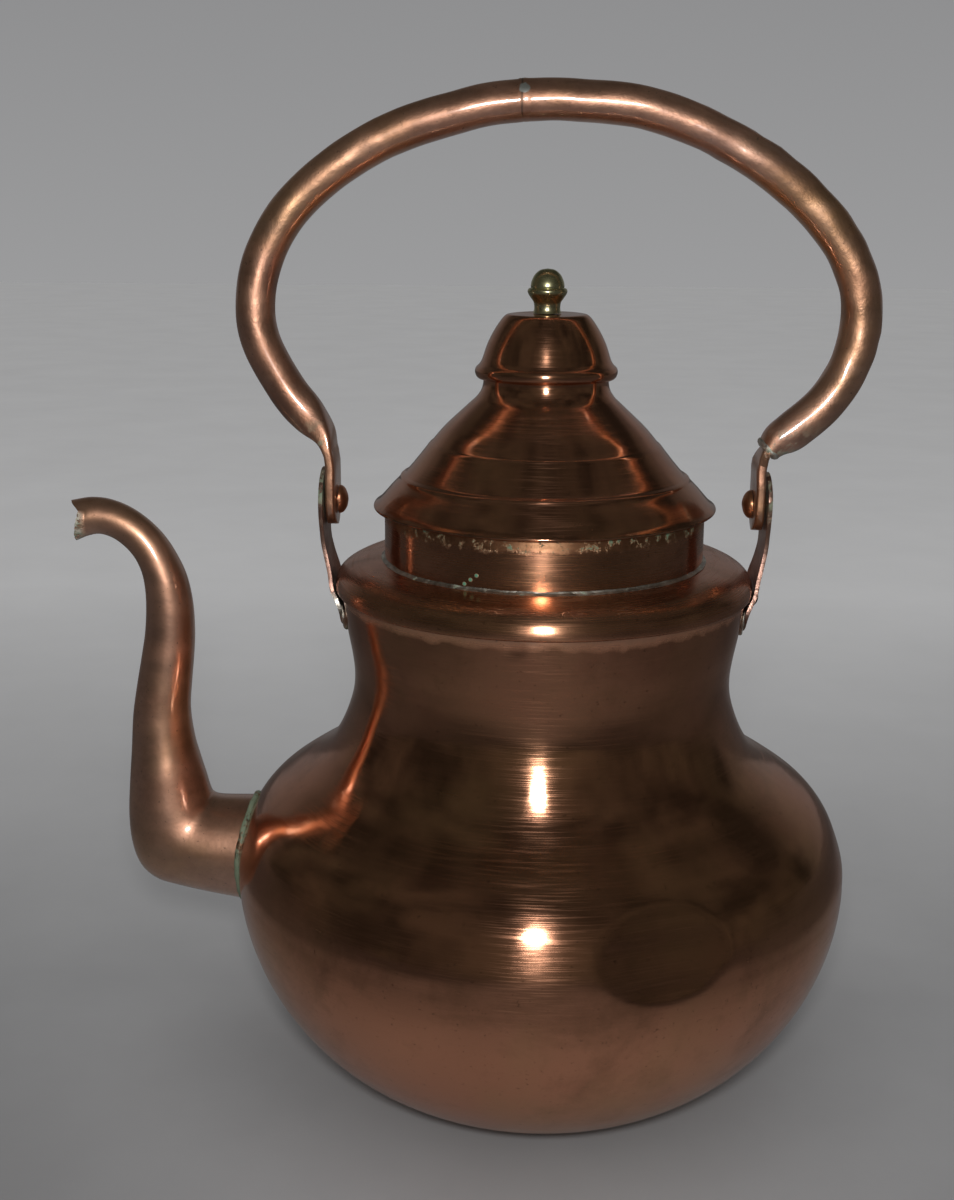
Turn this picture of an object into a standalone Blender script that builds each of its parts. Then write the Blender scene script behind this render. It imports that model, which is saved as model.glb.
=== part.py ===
"""A raised copper water kettle with a gooseneck spout, a lift-off lid and a bail on two riveted ears."""

import math

import bmesh
import bpy
import numpy as np
from mathutils import Matrix, Vector

MM = 0.001
GAP = 0.3  # clearance between neighbouring pieces, in mm like every length below
WALL = 1.2  # copper sheet of the body
THIN = 1.1  # copper sheet of the lid

# Body
BASE_RADIUS = 42.0
BELLY_RADIUS = 118.0
BELLY_HEIGHT = 85.0
LOWER_STEPS = 10
BELLY_FULLNESS = 1.85  # power of the superellipse between base and belly, where 2 is an ellipse
NECK = [(118.0, 85), (117.6, 92.5), (115.4, 100), (111.9, 108), (106.3, 115), (98.2, 121), (89.0, 127)]
NECK += [(82.8, 132.5), (78.6, 138.5), (74.8, 147), (72.2, 156), (71.6, 164)]
NECK += [(72.4, 172), (74.0, 181), (75.4, 190), (76.7, 199)]
BASE_LAP = 7.0  # how far the base plate's joggled edge reaches inside the body
BASE_LAP_RISE = 1.1
SHOULDER_TOP = 208.2
SHOULDER = [(69, 207.0), (74.4, 205.0), (77.2, 202.6), (78.3, 199.8), (78.2, 196.8)]
COLLAR_RADIUS = 59.6
COLLAR_FOOT = 203.0
COLLAR_TOP = 229.4

# Spout: each row is the inner side (x, z), the outer side (x, z) and the half width
SPOUT = [
    ((-106.0, 107.6), (-110.0, 65.1), 21.6),
    ((-122.0, 107.3), (-130.0, 68.3), 20.4),
    ((-128.0, 107.5), (-144.0, 71.2), 19.6),
    ((-130.3, 108.6), (-153.0, 74.0), 19.0),
    ((-131.1, 110.6), (-159.3, 79.8), 18.3),
    ((-131.7, 113.2), (-162.5, 89.0), 17.4),
    ((-132.4, 116.4), (-163.3, 101.0), 16.4),
    ((-134.2, 123.0), (-162.3, 116.5), 14.8),
    ((-136.3, 132.0), (-161.0, 129.0), 12.7),
    ((-137.4, 144.0), (-159.6, 142.5), 11.3),
    ((-136.5, 155.0), (-157.6, 154.3), 10.7),
    ((-135.2, 166.0), (-155.2, 166.3), 10.1),
    ((-134.4, 176.0), (-153.3, 177.0), 9.5),
    ((-134.5, 187.0), (-152.4, 188.3), 9.0),
    ((-136.0, 196.5), (-152.9, 197.0), 8.5),
    ((-139.0, 204.6), (-154.6, 202.9), 8.0),
    ((-143.8, 212.8), (-157.2, 207.2), 7.4),
    ((-150.2, 219.7), (-160.8, 210.8), 7.0),
    ((-157.3, 224.8), (-164.6, 213.2), 6.9),
    ((-164.8, 227.7), (-168.8, 214.3), 7.0),
    ((-172.2, 228.3), (-173.2, 213.5), 7.4),
    ((-179.3, 227.0), (-177.8, 211.6), 7.7),
]
SPOUT_WALL = 1.0
SPOUT_ROOT_ROWS = 3  # rows that reach through the belly wall
MOUTH_NOTCH_AT = (-183.5, 220.0)
MOUTH_NOTCH_RADIUS = 8.0
ROOT_BEAD_LIFT = 0.35  # how far the solder at the root stands off the belly
ROOT_BEAD = [(0, 0, 0), (1.7, 0.1, 0), (1.0, 1.0, 0), (0, 1.7, 0.2)]  # along spout, along belly, off it

# Ears, as (height, inner face from the axis plane, half width)
EAR = [
    (181.5, 74.6, 4.5),
    (183.0, 74.8, 8.2),
    (185.2, 75.2, 11.8),
    (188.0, 75.7, 14.0),
    (191.0, 76.5, 14.6),
    (194.3, 77.8, 14.0),
    (197.0, 78.9, 13.1),
    (202.0, 79.6, 11.2),
    (206.0, 80.3, 9.9),
    (210.0, 81.0, 9.2),
    (213.5, 81.5, 9.0),
    (218.0, 81.7, 9.4),
    (223.0, 81.8, 10.8),
    (229.0, 81.8, 12.0),
    (234.0, 81.8, 10.9),
    (237.5, 81.7, 8.5),
    (240.0, 81.6, 4.8),
    (241.0, 81.6, 1.8),
]
EAR_SHEET = 1.5
EAR_WRAP = (203.0, 216.0)  # the ear follows the round body below this range and is flat above it
FOOT_RIVET_HEIGHT = 193.5
FOOT_SHANK_RADIUS = 2.0
FOOT_HEAD_RADIUS = 3.4
FOOT_HEAD_HEIGHTS = {-1: 1.2, 1: 2.3}  # the left head is hammered flatter than the right one
FOOT_TAIL = (3.2, 0.9)  # radius and height
FOOT_TAIL_ROOM = 1.35  # the rivet passes aslant, so its tail stands off the wall on one side
FOOT_SOLDER_RADIUS = 0.9
FOOT_SOLDER_MIDDLE = 191.0
FOOT_SOLDER_REACH = (16.4, 11.4)  # half width and depth of its arc
FOOT_SOLDER_STEPS = 14

# Pivots
PIVOT_HEIGHT = 229.0
SHANK_RADIUS = 2.4
PIVOT_HEAD = (5.3, 3.3)  # radius and height
PIVOT_TAIL = (4.0, 1.0)
EAR_BOW = 0.3  # how far the ear stands off the strap at the pivot, besides the clearance
STRAP_FACE = 81.2  # outer face of the strap from the middle plane
STRAP_THICK = 4.0
STRAP_HALF_WIDTH = 10.0
STRAP_SHOULDER = 9.7  # half width where the strap meets the hammered tube
STRAP_ROOT = 5.0  # half width of the right strap inside its tube
STRAP_SQUARENESS = 5.0  # power of the strap's superellipse section
STRAP_TOP = 243.0
STRAP_END = 219.5
STRAP_SHARES = (0, 0.12, 0.35, 0.55, 0.7, 0.82, 0.91, 0.97, 1)  # of the way down to its round end

# Handle
TUBE_RADIUS = 7.3
TUBE_WALL = 1.0
FLAT_STEPS = 6
SPREAD_STEPS = 5
MOUTH = (4.7, 6.9)  # half height and half width of the right tube where it is closed onto its strap
MOUTH_STEPS = 4
STRAP_SOLDER = 1.2
JOINT_GAP = 0.9  # from the middle of the butt joint to the end of each tube
JOINT_X = -9.0
STRAP_X = STRAP_FACE - STRAP_THICK / 2
BAIL_LEFT = [(JOINT_X, 371.9), (-27, 369.4), (-54, 361.2), (-77, 348.6), (-93.5, 333.5), (-103.6, 316)]
BAIL_LEFT += [(-106.6, 300), (-104.2, 285.5), (-96, 270.5), (-87.8, 260.5), (-82.0, 253.5), (-79.6, 246.5)]
BAIL_RIGHT = [(JOINT_X, 371.9), (8, 372.1), (36, 368.6), (68, 355.6), (93, 337), (107, 319.5)]
BAIL_RIGHT += [(112.8, 301), (110.4, 282.5), (102.2, 267.5), (91.7, 257.8), (85.6, 253.6), (82.3, 250.2)]
STRAP_RIGHT = [(99.0, 264.0), (91.7, 257.8), (85.6, 253.6), (82.3, 250.2), (80.3, 247.4), (79.4, 244.8)]

# Lid
DOME = [(23.0, 278.6), (23.1, 272.5), (25.0, 268.6), (28.8, 264.9), (36.8, 257.4), (41.6, 251.9)]
DOME += [(42.8, 251.0), (44.3, 248.9), (48.1, 244.2), (51.4, 240.2), (53.0, 239.6), (54.2, 237.9)]
DOME += [(57.3, 234.7), (60.3, 231.1), (63.8, 228.0)]
CROWN = [(14.5, 298.0), (16.5, 296.4), (19.2, 292.4), (21.6, 287.6), (23.2, 282.8), (23.7, 281.2)]
CROWN += [(24.6, 280.0), (25.8, 278.9), (26.1, 277.4), (25.6, 275.9), (24.7, 275.0)]
CROWN_TOP = 298.2
CROWN_FLAT = 9.0
SKIRT_RADIUS = 57.9
SKIRT_SHEET = 1.0
SKIRT_FOOT = 218.0
SKIRT_TOP = 231.4
TANG_RADIUS = 2.3
WASHER_RADIUS = 6.5
WASHER_THICK = 1.2
BURR = [(3.6, 0), (3.6, 0.7), (2.0, 1.3), (0, 1.3)]  # the tang's end, riveted over: radius and depth
FINIAL = [(0, 314.3), (2.6, 313.8), (4.6, 312.2), (5.8, 309.9), (6.1, 308.2), (6.0, 307.5), (7.2, 306.3)]
FINIAL += [(6.2, 304.2), (4.9, 302.2), (4.7, 300.8), (4.8, 299.5), (5.2, 298.5), (TANG_RADIUS, 298.5)]

COARSE, FINE = 18, 48  # sides of a small round piece and of a large one


def make_collection(name, hidden=False):
    collection = bpy.data.collections.new(name)
    bpy.context.scene.collection.children.link(collection)
    collection.hide_render = hidden
    return collection


def make_material(name, color, metallic, roughness):
    material = bpy.data.materials.new(name)
    material.use_nodes = True
    shader = material.node_tree.nodes["Principled BSDF"]
    shader.inputs["Base Color"].default_value = (*color, 1)
    shader.inputs["Metallic"].default_value = metallic
    shader.inputs["Roughness"].default_value = roughness
    return material


def add_object(name, data, material, collection=None):
    obj = bpy.data.objects.new(name, data)
    (collection or KETTLE).objects.link(obj)
    if material:
        data.materials.append(material)
    if collection is CUTTERS:
        obj.hide_render = True
        obj.display_type = "WIRE"
    return obj


def mesh_object(name, points, faces, material, collection=None, closed=True):
    """A mesh from points in mm, its faces turned outward when it is a closed body."""
    mesh = bpy.data.meshes.new(name)
    mesh.from_pydata([Vector(p) * MM for p in points], [], faces)
    if closed:
        work = bmesh.new()
        work.from_mesh(mesh)
        bmesh.ops.recalc_face_normals(work, faces=work.faces)
        work.to_mesh(mesh)
        work.free()
    mesh.shade_smooth()
    mesh.set_sharp_from_angle(angle=math.radians(35))
    return add_object(name, mesh, material, collection)


def turned(name, section, material, sides=FINE):
    """A piece turned about Z from its half section, listed down the outer side first."""
    mesh = bpy.data.meshes.new(name)
    on_axis = section[0][0] == 0 and section[-1][0] == 0
    edges = [(i, i + 1) for i in range(len(section) - 1)]
    if not on_axis:
        edges.append((len(section) - 1, 0))
    mesh.from_pydata([(r * MM, 0, z * MM) for r, z in section], edges, [])
    obj = add_object(name, mesh, material)
    screw = obj.modifiers.new("turn", "SCREW")
    screw.steps = screw.render_steps = sides
    screw.use_merge_vertices = True
    screw.merge_threshold = 0.00001
    screw.use_smooth_shade = True
    return obj


def sheet_section(outer, wall):
    """The closed section of a sheet whose outer side is given from top to bottom."""
    line = np.array(outer, float)
    along = np.gradient(line, axis=0)
    along /= np.linalg.norm(along, axis=1)[:, None]
    inner = line + wall * np.stack([along[:, 1], -along[:, 0]], 1)
    return [tuple(p) for p in line] + [tuple(p) for p in inner[::-1]]


def smooth_path(points, per_span):
    """A Catmull-Rom curve through the points."""
    known = np.array(points, float)
    padded = np.vstack([2 * known[0] - known[1], known, 2 * known[-1] - known[-2]])
    steps = np.linspace(0, 1, per_span, endpoint=False)[:, None]
    spans = []
    for a, b, c, d in zip(padded, padded[1:], padded[2:], padded[3:]):
        cubic = (3 * b - a - 3 * c + d) * steps**3
        spans.append(b + 0.5 * ((c - a) * steps + (2 * a - 5 * b + 4 * c - d) * steps**2 + cubic))
    return np.vstack([*spans, known[-1:]])


def body_line():
    """The outer side of the belly and neck, from the neck's top down to the base."""
    upper = NECK[::-1]
    edge = BASE_RADIUS + GAP
    lower = []
    for step in range(1, LOWER_STEPS + 1):
        turn = math.pi / 2 * step / LOWER_STEPS
        out = max(math.cos(turn), 0) ** (2 / BELLY_FULLNESS)
        down = math.sin(turn) ** (2 / BELLY_FULLNESS)
        lower.append((edge + (BELLY_RADIUS - edge) * out, BELLY_HEIGHT * (1 - down)))
    return upper + lower


def body_radius(height):
    radii, heights = np.array(body_line()[::-1]).T
    return float(np.interp(height, heights, radii))


def ring(centre, across, half_across, half_wide, power=2.0, count=COARSE):
    """Points of a rounded section. It lies across the XZ plane, and its width is along Y."""
    points = []
    for step in range(count):
        turn = 2 * math.pi * (step + 0.5) / count
        cos, sin = math.cos(turn), math.sin(turn)
        a = math.copysign(abs(cos) ** (2 / power), cos) * half_across
        b = math.copysign(abs(sin) ** (2 / power), sin) * half_wide
        points.append((centre[0] + across[0] * a, b, centre[1] + across[1] * a))
    return points


def loft_faces(ring_count, side_count, first=0, closed=False):
    """Faces between neighbouring rings, and from the last ring back to the first when it is closed."""
    faces = []
    for row in range(ring_count if closed else ring_count - 1):
        here, above = first + row * side_count, first + (row + 1) % ring_count * side_count
        for side in range(side_count):
            after = (side + 1) % side_count
            faces.append((here + side, here + after, above + after, above + side))
    return faces


def loft(name, outer, inner, material, collection=None, blind=False):
    """A tube skinned over rings. Its bore is open at the first ring, and at the last unless it is blind."""
    sides = len(outer[0])
    points = [p for r in outer for p in r]
    faces = loft_faces(len(outer), sides)
    last = (len(outer) - 1) * sides
    if not inner:
        faces += [tuple(range(sides)), tuple(range(last, last + sides))]
        return mesh_object(name, points, faces, material, collection)
    start = len(points)
    points += [p for r in inner for p in r]
    faces += loft_faces(len(inner), sides, start)
    inner_last = start + (len(inner) - 1) * sides
    for side in range(sides):
        after = (side + 1) % sides
        faces.append((side, after, start + after, start + side))
        if not blind:
            faces.append((last + side, last + after, inner_last + after, inner_last + side))
    if blind:
        faces += [tuple(range(last, last + sides)), tuple(range(inner_last, inner_last + sides))]
    return mesh_object(name, points, faces, material, collection)


def rod_cutter(name, start, end, radius):
    """A round cutter from one point to another."""
    start, end = Vector(start) * MM, Vector(end) * MM
    mesh = bpy.data.meshes.new(name)
    work = bmesh.new()
    length = (end - start).length
    bmesh.ops.create_cone(
        work, cap_ends=True, segments=COARSE, radius1=radius * MM, radius2=radius * MM, depth=length
    )
    bmesh.ops.rotate(work, matrix=Matrix.Rotation(math.pi / COARSE, 3, "Z"), verts=work.verts)
    turn = (end - start).to_track_quat("Z", "Y").to_matrix().to_4x4()
    bmesh.ops.transform(work, matrix=Matrix.Translation((start + end) / 2) @ turn, verts=work.verts)
    work.to_mesh(mesh)
    work.free()
    return add_object(name, mesh, None, CUTTERS)


def cut(obj, cutter):
    modifier = obj.modifiers.new("cut " + cutter.name, "BOOLEAN")
    modifier.operation = "DIFFERENCE"
    modifier.solver = "EXACT"
    modifier.object = cutter


def base_plate():
    """The flat bottom. Its edge is set up by a joggle and laps the inside of the body."""
    edge = BASE_RADIUS - GAP / 2
    under = [(edge, WALL + GAP), (edge + BASE_LAP / 2, WALL + BASE_LAP_RISE / 2)]
    under.append((edge + BASE_LAP, WALL + BASE_LAP_RISE))
    over = [(r, z + THIN) for r, z in under]
    over[0] = (edge - THIN / 2, over[0][1])
    inside = [(0, WALL), (edge - 2 * THIN, WALL)]
    turned("base_plate", [*inside, *over, *under[::-1], (edge, 0), (0, 0)], COPPER, 40)


def shoulder_and_collar():
    top = [(COLLAR_RADIUS + GAP, SHOULDER_TOP)]
    turned("shoulder_plate", sheet_section(top + SHOULDER, WALL), COPPER)
    collar = [(COLLAR_RADIUS, COLLAR_TOP), (COLLAR_RADIUS, COLLAR_FOOT)]
    turned("lid_collar", sheet_section(collar, WALL), COPPER)
    near, low = COLLAR_RADIUS + GAP, SHOULDER_TOP + GAP
    bead = [(near, low + 2.0), (near + 0.8, low + 0.7), (near + 2.2, low - 0.1), (near, low)]
    turned("collar_solder", bead, SOLDER)


def spout_rings(rows, growth=0.0):
    rings = []
    for inner, outer, half_wide in rows:
        inner, outer = np.array(inner), np.array(outer)
        middle, half = (inner + outer) / 2, np.linalg.norm(outer - inner) / 2
        rings.append(ring(middle, (outer - middle) / half, half + growth, half_wide + growth))
    return rings


def spout_pieces(shell):
    spout = loft("spout", spout_rings(SPOUT), spout_rings(SPOUT, -SPOUT_WALL), COPPER)
    hole = loft("spout_hole", spout_rings(SPOUT[:SPOUT_ROOT_ROWS], GAP), None, None, CUTTERS)
    cut(shell, hole)
    x, z = MOUTH_NOTCH_AT
    cut(spout, rod_cutter("mouth_notch", (x, -20, z), (x, 20, z), MOUTH_NOTCH_RADIUS))
    root_bead()


def root_line():
    """Where the spout's surface leaves the belly: points on it, and the spout's direction at each."""
    points, ways = [], []
    first, second = spout_rings(SPOUT[:2], GAP)
    for a, b in zip(map(np.array, first), map(np.array, second)):
        line = a + (b - a) * np.linspace(0, 1, 200)[:, None]
        outside = np.hypot(line[:, 0], line[:, 1]) - [body_radius(z) + GAP for z in line[:, 2]]
        points.append(line[np.argmax(outside > 0)])
        ways.append((b - a) / np.linalg.norm(b - a))
    return points, ways


def root_bead():
    """The bead of solder round the spout's root."""
    roots, ways = root_line()
    middle = np.mean(roots, axis=0)
    points = []
    for root, along in zip(roots, ways):
        off = np.array([root[0], root[1], 0]) / np.hypot(root[0], root[1])
        spread = root - middle - off * (root - middle).dot(off)
        spread /= np.linalg.norm(spread)
        for up, out, lift in ROOT_BEAD:
            points.append(root + up * along + out * spread + (ROOT_BEAD_LIFT + lift) * off)
    faces = loft_faces(len(roots), len(ROOT_BEAD), closed=True)
    mesh_object("spout_solder", points, faces, VERDIGRIS)


def ear_face(row, y):
    """How far from the middle plane the ear's inner face is at this row and width."""
    height, face, _ = row
    low, high = EAR_WRAP
    wrap = np.clip((high - height) / (high - low), 0, 1)
    return face - wrap * (face - math.sqrt(face**2 - y**2))


def foot_rivet_axis(side):
    """A point on the ear's inner face where the foot rivet passes, and the way out."""
    heights, faces, _ = np.array(EAR).T
    below, face, above = np.interp(FOOT_RIVET_HEIGHT + np.array([-2, 0, 2]), heights, faces)
    outward = Vector((side, 0, (below - above) / 4)).normalized()
    return Vector((side * face, 0, FOOT_RIVET_HEIGHT)), outward


def rivet(name, head, shank, tail, head_size, tail_size, place, outward):
    """A domed rivet. Its head ends at `head` along the outward line, and its tail ends at `tail`."""
    radius, high = head_size
    tail_radius, tail_high = tail_size
    section = [(0, head + high)]
    for share in (0.3, 0.6, 0.85):
        turn = math.pi / 2 * share
        section.append((radius * math.sin(turn), head + high * math.cos(turn)))
    section += [(radius, head + 0.15 * high), (radius, head), (shank, head), (shank, tail)]
    section += [(tail_radius, tail), (tail_radius, tail - tail_high / 2), (tail_radius / 2, tail - tail_high)]
    section.append((0, tail - tail_high))
    obj = turned(name, section, RIVET, 20)
    obj.matrix_world = Matrix.Translation(place * MM) @ outward.to_track_quat("Z", "Y").to_matrix().to_4x4()
    return obj


def ear_plate(name, side):
    columns = np.linspace(-1, 1, 8)
    points, faces = [], []
    for row in EAR:
        for share in columns:
            y = row[2] * share
            points.append((side * ear_face(row, y), y, row[0]))
    wide = len(columns)
    for i in range(len(EAR) - 1):
        for j in range(wide - 1):
            a = i * wide + j
            face = (a, a + 1, a + 1 + wide, a + wide)
            faces.append(face if side > 0 else face[::-1])
    ear = mesh_object("ear_" + name, points, faces, COPPER, closed=False)
    thick = ear.modifiers.new("thickness", "SOLIDIFY")
    thick.thickness = EAR_SHEET * MM
    thick.offset = 1
    thick.use_even_offset = True
    return ear


def ear_pieces(name, side, shell):
    """An ear with its holes, foot rivet and solder. Returns the cutter of the pivot hole."""
    ear = ear_plate(name, side)
    ends = [(side * reach, 0, PIVOT_HEIGHT) for reach in (STRAP_FACE - 13, STRAP_FACE + 12)]
    pivot = rod_cutter("pivot_hole_" + name, *ends, SHANK_RADIUS + GAP)
    cut(ear, pivot)

    place, outward = foot_rivet_axis(side)
    foot = rod_cutter("foot_hole_" + name, place - outward * 8, place + outward * 8, FOOT_SHANK_RADIUS + GAP)
    cut(ear, foot)
    cut(shell, foot)
    gap_behind = abs(place.x) - body_radius(FOOT_RIVET_HEIGHT)
    tail = -(gap_behind + WALL + FOOT_TAIL_ROOM)
    head = (FOOT_HEAD_RADIUS, FOOT_HEAD_HEIGHTS[side])
    rivet("ear_rivet_" + name, EAR_SHEET + GAP, FOOT_SHANK_RADIUS, tail, head, FOOT_TAIL, place, outward)

    path = []
    wide, deep = FOOT_SOLDER_REACH
    for step in range(FOOT_SOLDER_STEPS + 1):
        turn = math.pi * (1 + step / FOOT_SOLDER_STEPS)
        y, z = wide * math.cos(turn), FOOT_SOLDER_MIDDLE + deep * math.sin(turn)
        reach = body_radius(z) + FOOT_SOLDER_RADIUS + GAP
        path.append((side * math.sqrt(reach**2 - y**2), y, z))
    solder_wire("ear_solder_" + name, path, FOOT_SOLDER_RADIUS)
    return pivot


def solder_wire(name, path, radius):
    curve = bpy.data.curves.new(name, "CURVE")
    curve.dimensions = "3D"
    curve.bevel_depth = radius * MM
    curve.bevel_resolution = 1
    curve.use_fill_caps = True
    spline = curve.splines.new("POLY")
    spline.points.add(len(path) - 1)
    for point, place in zip(spline.points, path):
        point.co = (*(Vector(place) * MM), 1)
    add_object(name, curve, SOLDER)


def pivot_rivet(name, side):
    """The rivet that the bail swings on. Its dome is inside, against the strap."""
    place, inward = Vector((side * STRAP_FACE, 0, PIVOT_HEIGHT)), Vector((-side, 0, 0))
    head, tail = STRAP_THICK + GAP, -(EAR_BOW + EAR_SHEET + 2 * GAP)
    rivet("pivot_rivet_" + name, head, SHANK_RADIUS, tail, PIVOT_HEAD, PIVOT_TAIL, place, inward)


def path_frames(path, upright_start=True):
    """For each point of a path in the XZ plane, the way across it. The butt joint is cut upright."""
    along = np.gradient(path, axis=0)
    along /= np.linalg.norm(along, axis=1)[:, None]
    across = np.stack([along[:, 1], -along[:, 0]], 1)
    if upright_start:
        across[0] = (0, math.copysign(1, across[0][1]))
    return across


def strap_rings(side):
    """Sections of the flat hanging strap, from its top down to its rounded end."""
    rings = []
    for share in STRAP_SHARES:
        height = STRAP_TOP + (STRAP_END - STRAP_TOP) * share
        below = max(PIVOT_HEIGHT - height, 0) / (PIVOT_HEIGHT - STRAP_END + GAP)
        half = STRAP_SHOULDER if share == 0 else STRAP_HALF_WIDTH * math.sqrt(1 - below**2)
        rings.append(ring((side * STRAP_X, height), (-1, 0), STRAP_THICK / 2, half, STRAP_SQUARENESS))
    return rings


def tube_rings(path, radius):
    return [ring(centre, way, radius, radius) for centre, way in zip(path, path_frames(path))]


def shifted(rings, step):
    """The same rings with the first one moved along X, to leave room at the butt joint."""
    return [[(x + step, y, z) for x, y, z in rings[0]], *rings[1:]]


def left_tube(path):
    """The hollow left half of the bail, hammered flat into a strap at its end."""
    outer, inner = [], []
    flat_from = len(path) - FLAT_STEPS
    for i, (centre, way) in enumerate(zip(path, path_frames(path))):
        flat = np.clip((i - flat_from) / (FLAT_STEPS - 1), 0, 1)
        ease = flat * flat * (3 - 2 * flat)
        thick = TUBE_RADIUS + (STRAP_THICK / 2 - TUBE_RADIUS) * ease
        wide = TUBE_RADIUS + (STRAP_SHOULDER - TUBE_RADIUS) * ease
        squareness = 2 + (STRAP_SQUARENESS - 2) * ease
        outer.append(ring(centre, way, thick, wide, squareness))
        if ease < 0.5:
            inner.append(ring(centre, way, thick - TUBE_WALL, wide - TUBE_WALL, squareness))
    outer = shifted(outer, -JOINT_GAP) + strap_rings(-1)
    return loft("handle_tube_left", outer, shifted(inner, -JOINT_GAP), COPPER, blind=True)


def right_tube(path):
    """The hollow right half of the bail, its mouth closed in onto the strap."""
    outer, inner = [], []
    for i, (centre, way) in enumerate(zip(path, path_frames(path))):
        close = max(i - (len(path) - 1 - MOUTH_STEPS), 0) / MOUTH_STEPS
        high, wide = (TUBE_RADIUS + (end - TUBE_RADIUS) * close**1.5 for end in MOUTH)
        outer.append(ring(centre, way, high, wide))
        inner.append(ring(centre, way, high - TUBE_WALL, wide - TUBE_WALL))
    return loft("handle_tube_right", shifted(outer, JOINT_GAP), shifted(inner, JOINT_GAP), COPPER)


def right_strap():
    """The flat bar that stands in the open end of the right tube."""
    path = smooth_path(STRAP_RIGHT, 3)
    spread_from = len(path) - SPREAD_STEPS
    rings = []
    for i, (centre, way) in enumerate(zip(path, path_frames(path, upright_start=False))):
        spread = np.clip((i - spread_from) / (SPREAD_STEPS - 1), 0, 1)
        half = STRAP_ROOT + (STRAP_SHOULDER - STRAP_ROOT) * spread
        rings.append(ring(centre, way, STRAP_THICK / 2, half, STRAP_SQUARENESS))
    return loft("handle_strap_right", rings + strap_rings(1), None, COPPER)


def handle_pieces():
    path_left, path_right = smooth_path(BAIL_LEFT, 2), smooth_path(BAIL_RIGHT, 2)
    left = left_tube(path_left)
    right = right_tube(path_right)
    strap = right_strap()

    plug = np.array([path_left[1], path_left[0], path_right[1]])
    spigot = loft("handle_spigot", tube_rings(plug, TUBE_RADIUS - TUBE_WALL - 1.5 * GAP), None, COPPER)
    half = JOINT_GAP - GAP
    seam = np.array([path_left[0] - [half, 0], path_left[0] + [half, 0]])
    band = tube_rings(seam, TUBE_RADIUS + GAP), tube_rings(seam, TUBE_RADIUS - TUBE_WALL + GAP)
    solder = loft("handle_solder", *band, SOLDER)

    mouth, way = path_right[-1], path_frames(path_right)[-1]
    away = (path_right[-1] - path_right[-2]) / np.linalg.norm(path_right[-1] - path_right[-2])
    ends = [mouth + away * GAP, mouth + away * (GAP + STRAP_SOLDER)]
    high, wide = MOUTH
    rim = [ring(ends[0], way, high, wide), ring(ends[1], way, high - TUBE_WALL, wide - TUBE_WALL / 2)]
    slot = [ring(end, way, STRAP_THICK / 2 + GAP, STRAP_ROOT + GAP, STRAP_SQUARENESS) for end in ends]
    fillet = loft("strap_solder_right", rim, slot, SOLDER)
    return left, right, strap, spigot, solder, fillet


def hang_on(name, height, pieces):
    """Parents the pieces of a moving group to an empty on its axis."""
    empty = bpy.data.objects.new(name, None)
    empty.location = (0, 0, height * MM)
    KETTLE.objects.link(empty)
    bpy.context.view_layer.update()
    for piece in pieces:
        piece.parent = empty
        piece.matrix_parent_inverse = empty.matrix_world.inverted()


def lid_pieces():
    dome = turned("lid_dome", sheet_section(DOME, THIN), COPPER)
    top = [(TANG_RADIUS + GAP, CROWN_TOP), (CROWN_FLAT, CROWN_TOP), *CROWN]
    crown = turned("lid_crown", sheet_section(top, THIN), COPPER, 40)
    ring_line = [(SKIRT_RADIUS, SKIRT_TOP), (SKIRT_RADIUS, SKIRT_FOOT)]
    skirt = turned("lid_skirt", sheet_section(ring_line, SKIRT_SHEET), COPPER)
    bore, under = TANG_RADIUS + GAP, CROWN_TOP - THIN - GAP
    end = under - WASHER_THICK
    disc = [(bore, under), (WASHER_RADIUS, under), (WASHER_RADIUS, end), (bore, end)]
    washer = turned("finial_washer", disc, COPPER, COARSE)
    end -= GAP
    burr = [(r, end - deep) for r, deep in BURR]
    finial = turned("finial", FINIAL + [(TANG_RADIUS, end)] + burr, BRASS, COARSE)
    return dome, crown, skirt, washer, finial


for old in list(bpy.data.objects):
    bpy.data.objects.remove(old)

KETTLE = make_collection("copper_kettle")
CUTTERS = make_collection("cutters", hidden=True)
COPPER = make_material("copper", (0.72, 0.34, 0.20), 1, 0.22)
RIVET = make_material("rivet_copper", (0.62, 0.24, 0.12), 1, 0.35)
BRASS = make_material("brass", (0.72, 0.55, 0.25), 1, 0.25)
SOLDER = make_material("solder", (0.62, 0.62, 0.58), 1, 0.4)
VERDIGRIS = make_material("green_solder", (0.30, 0.38, 0.30), 0.4, 0.6)

body = turned("body_shell", sheet_section(body_line(), WALL), COPPER)
base_plate()
shoulder_and_collar()
spout_pieces(body)
left_hole = ear_pieces("left", -1, body)
right_hole = ear_pieces("right", 1, body)
pivot_rivet("left", -1)
pivot_rivet("right", 1)
bail = handle_pieces()
cut(bail[0], left_hole)
cut(bail[2], right_hole)
hang_on("bail_axis", PIVOT_HEIGHT, bail)
hang_on("lid_seat", COLLAR_TOP, lid_pieces())
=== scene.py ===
"""The look of the copper kettle: fine turned and lofted surfaces, aged metal, a pale floor and soft light."""

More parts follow.
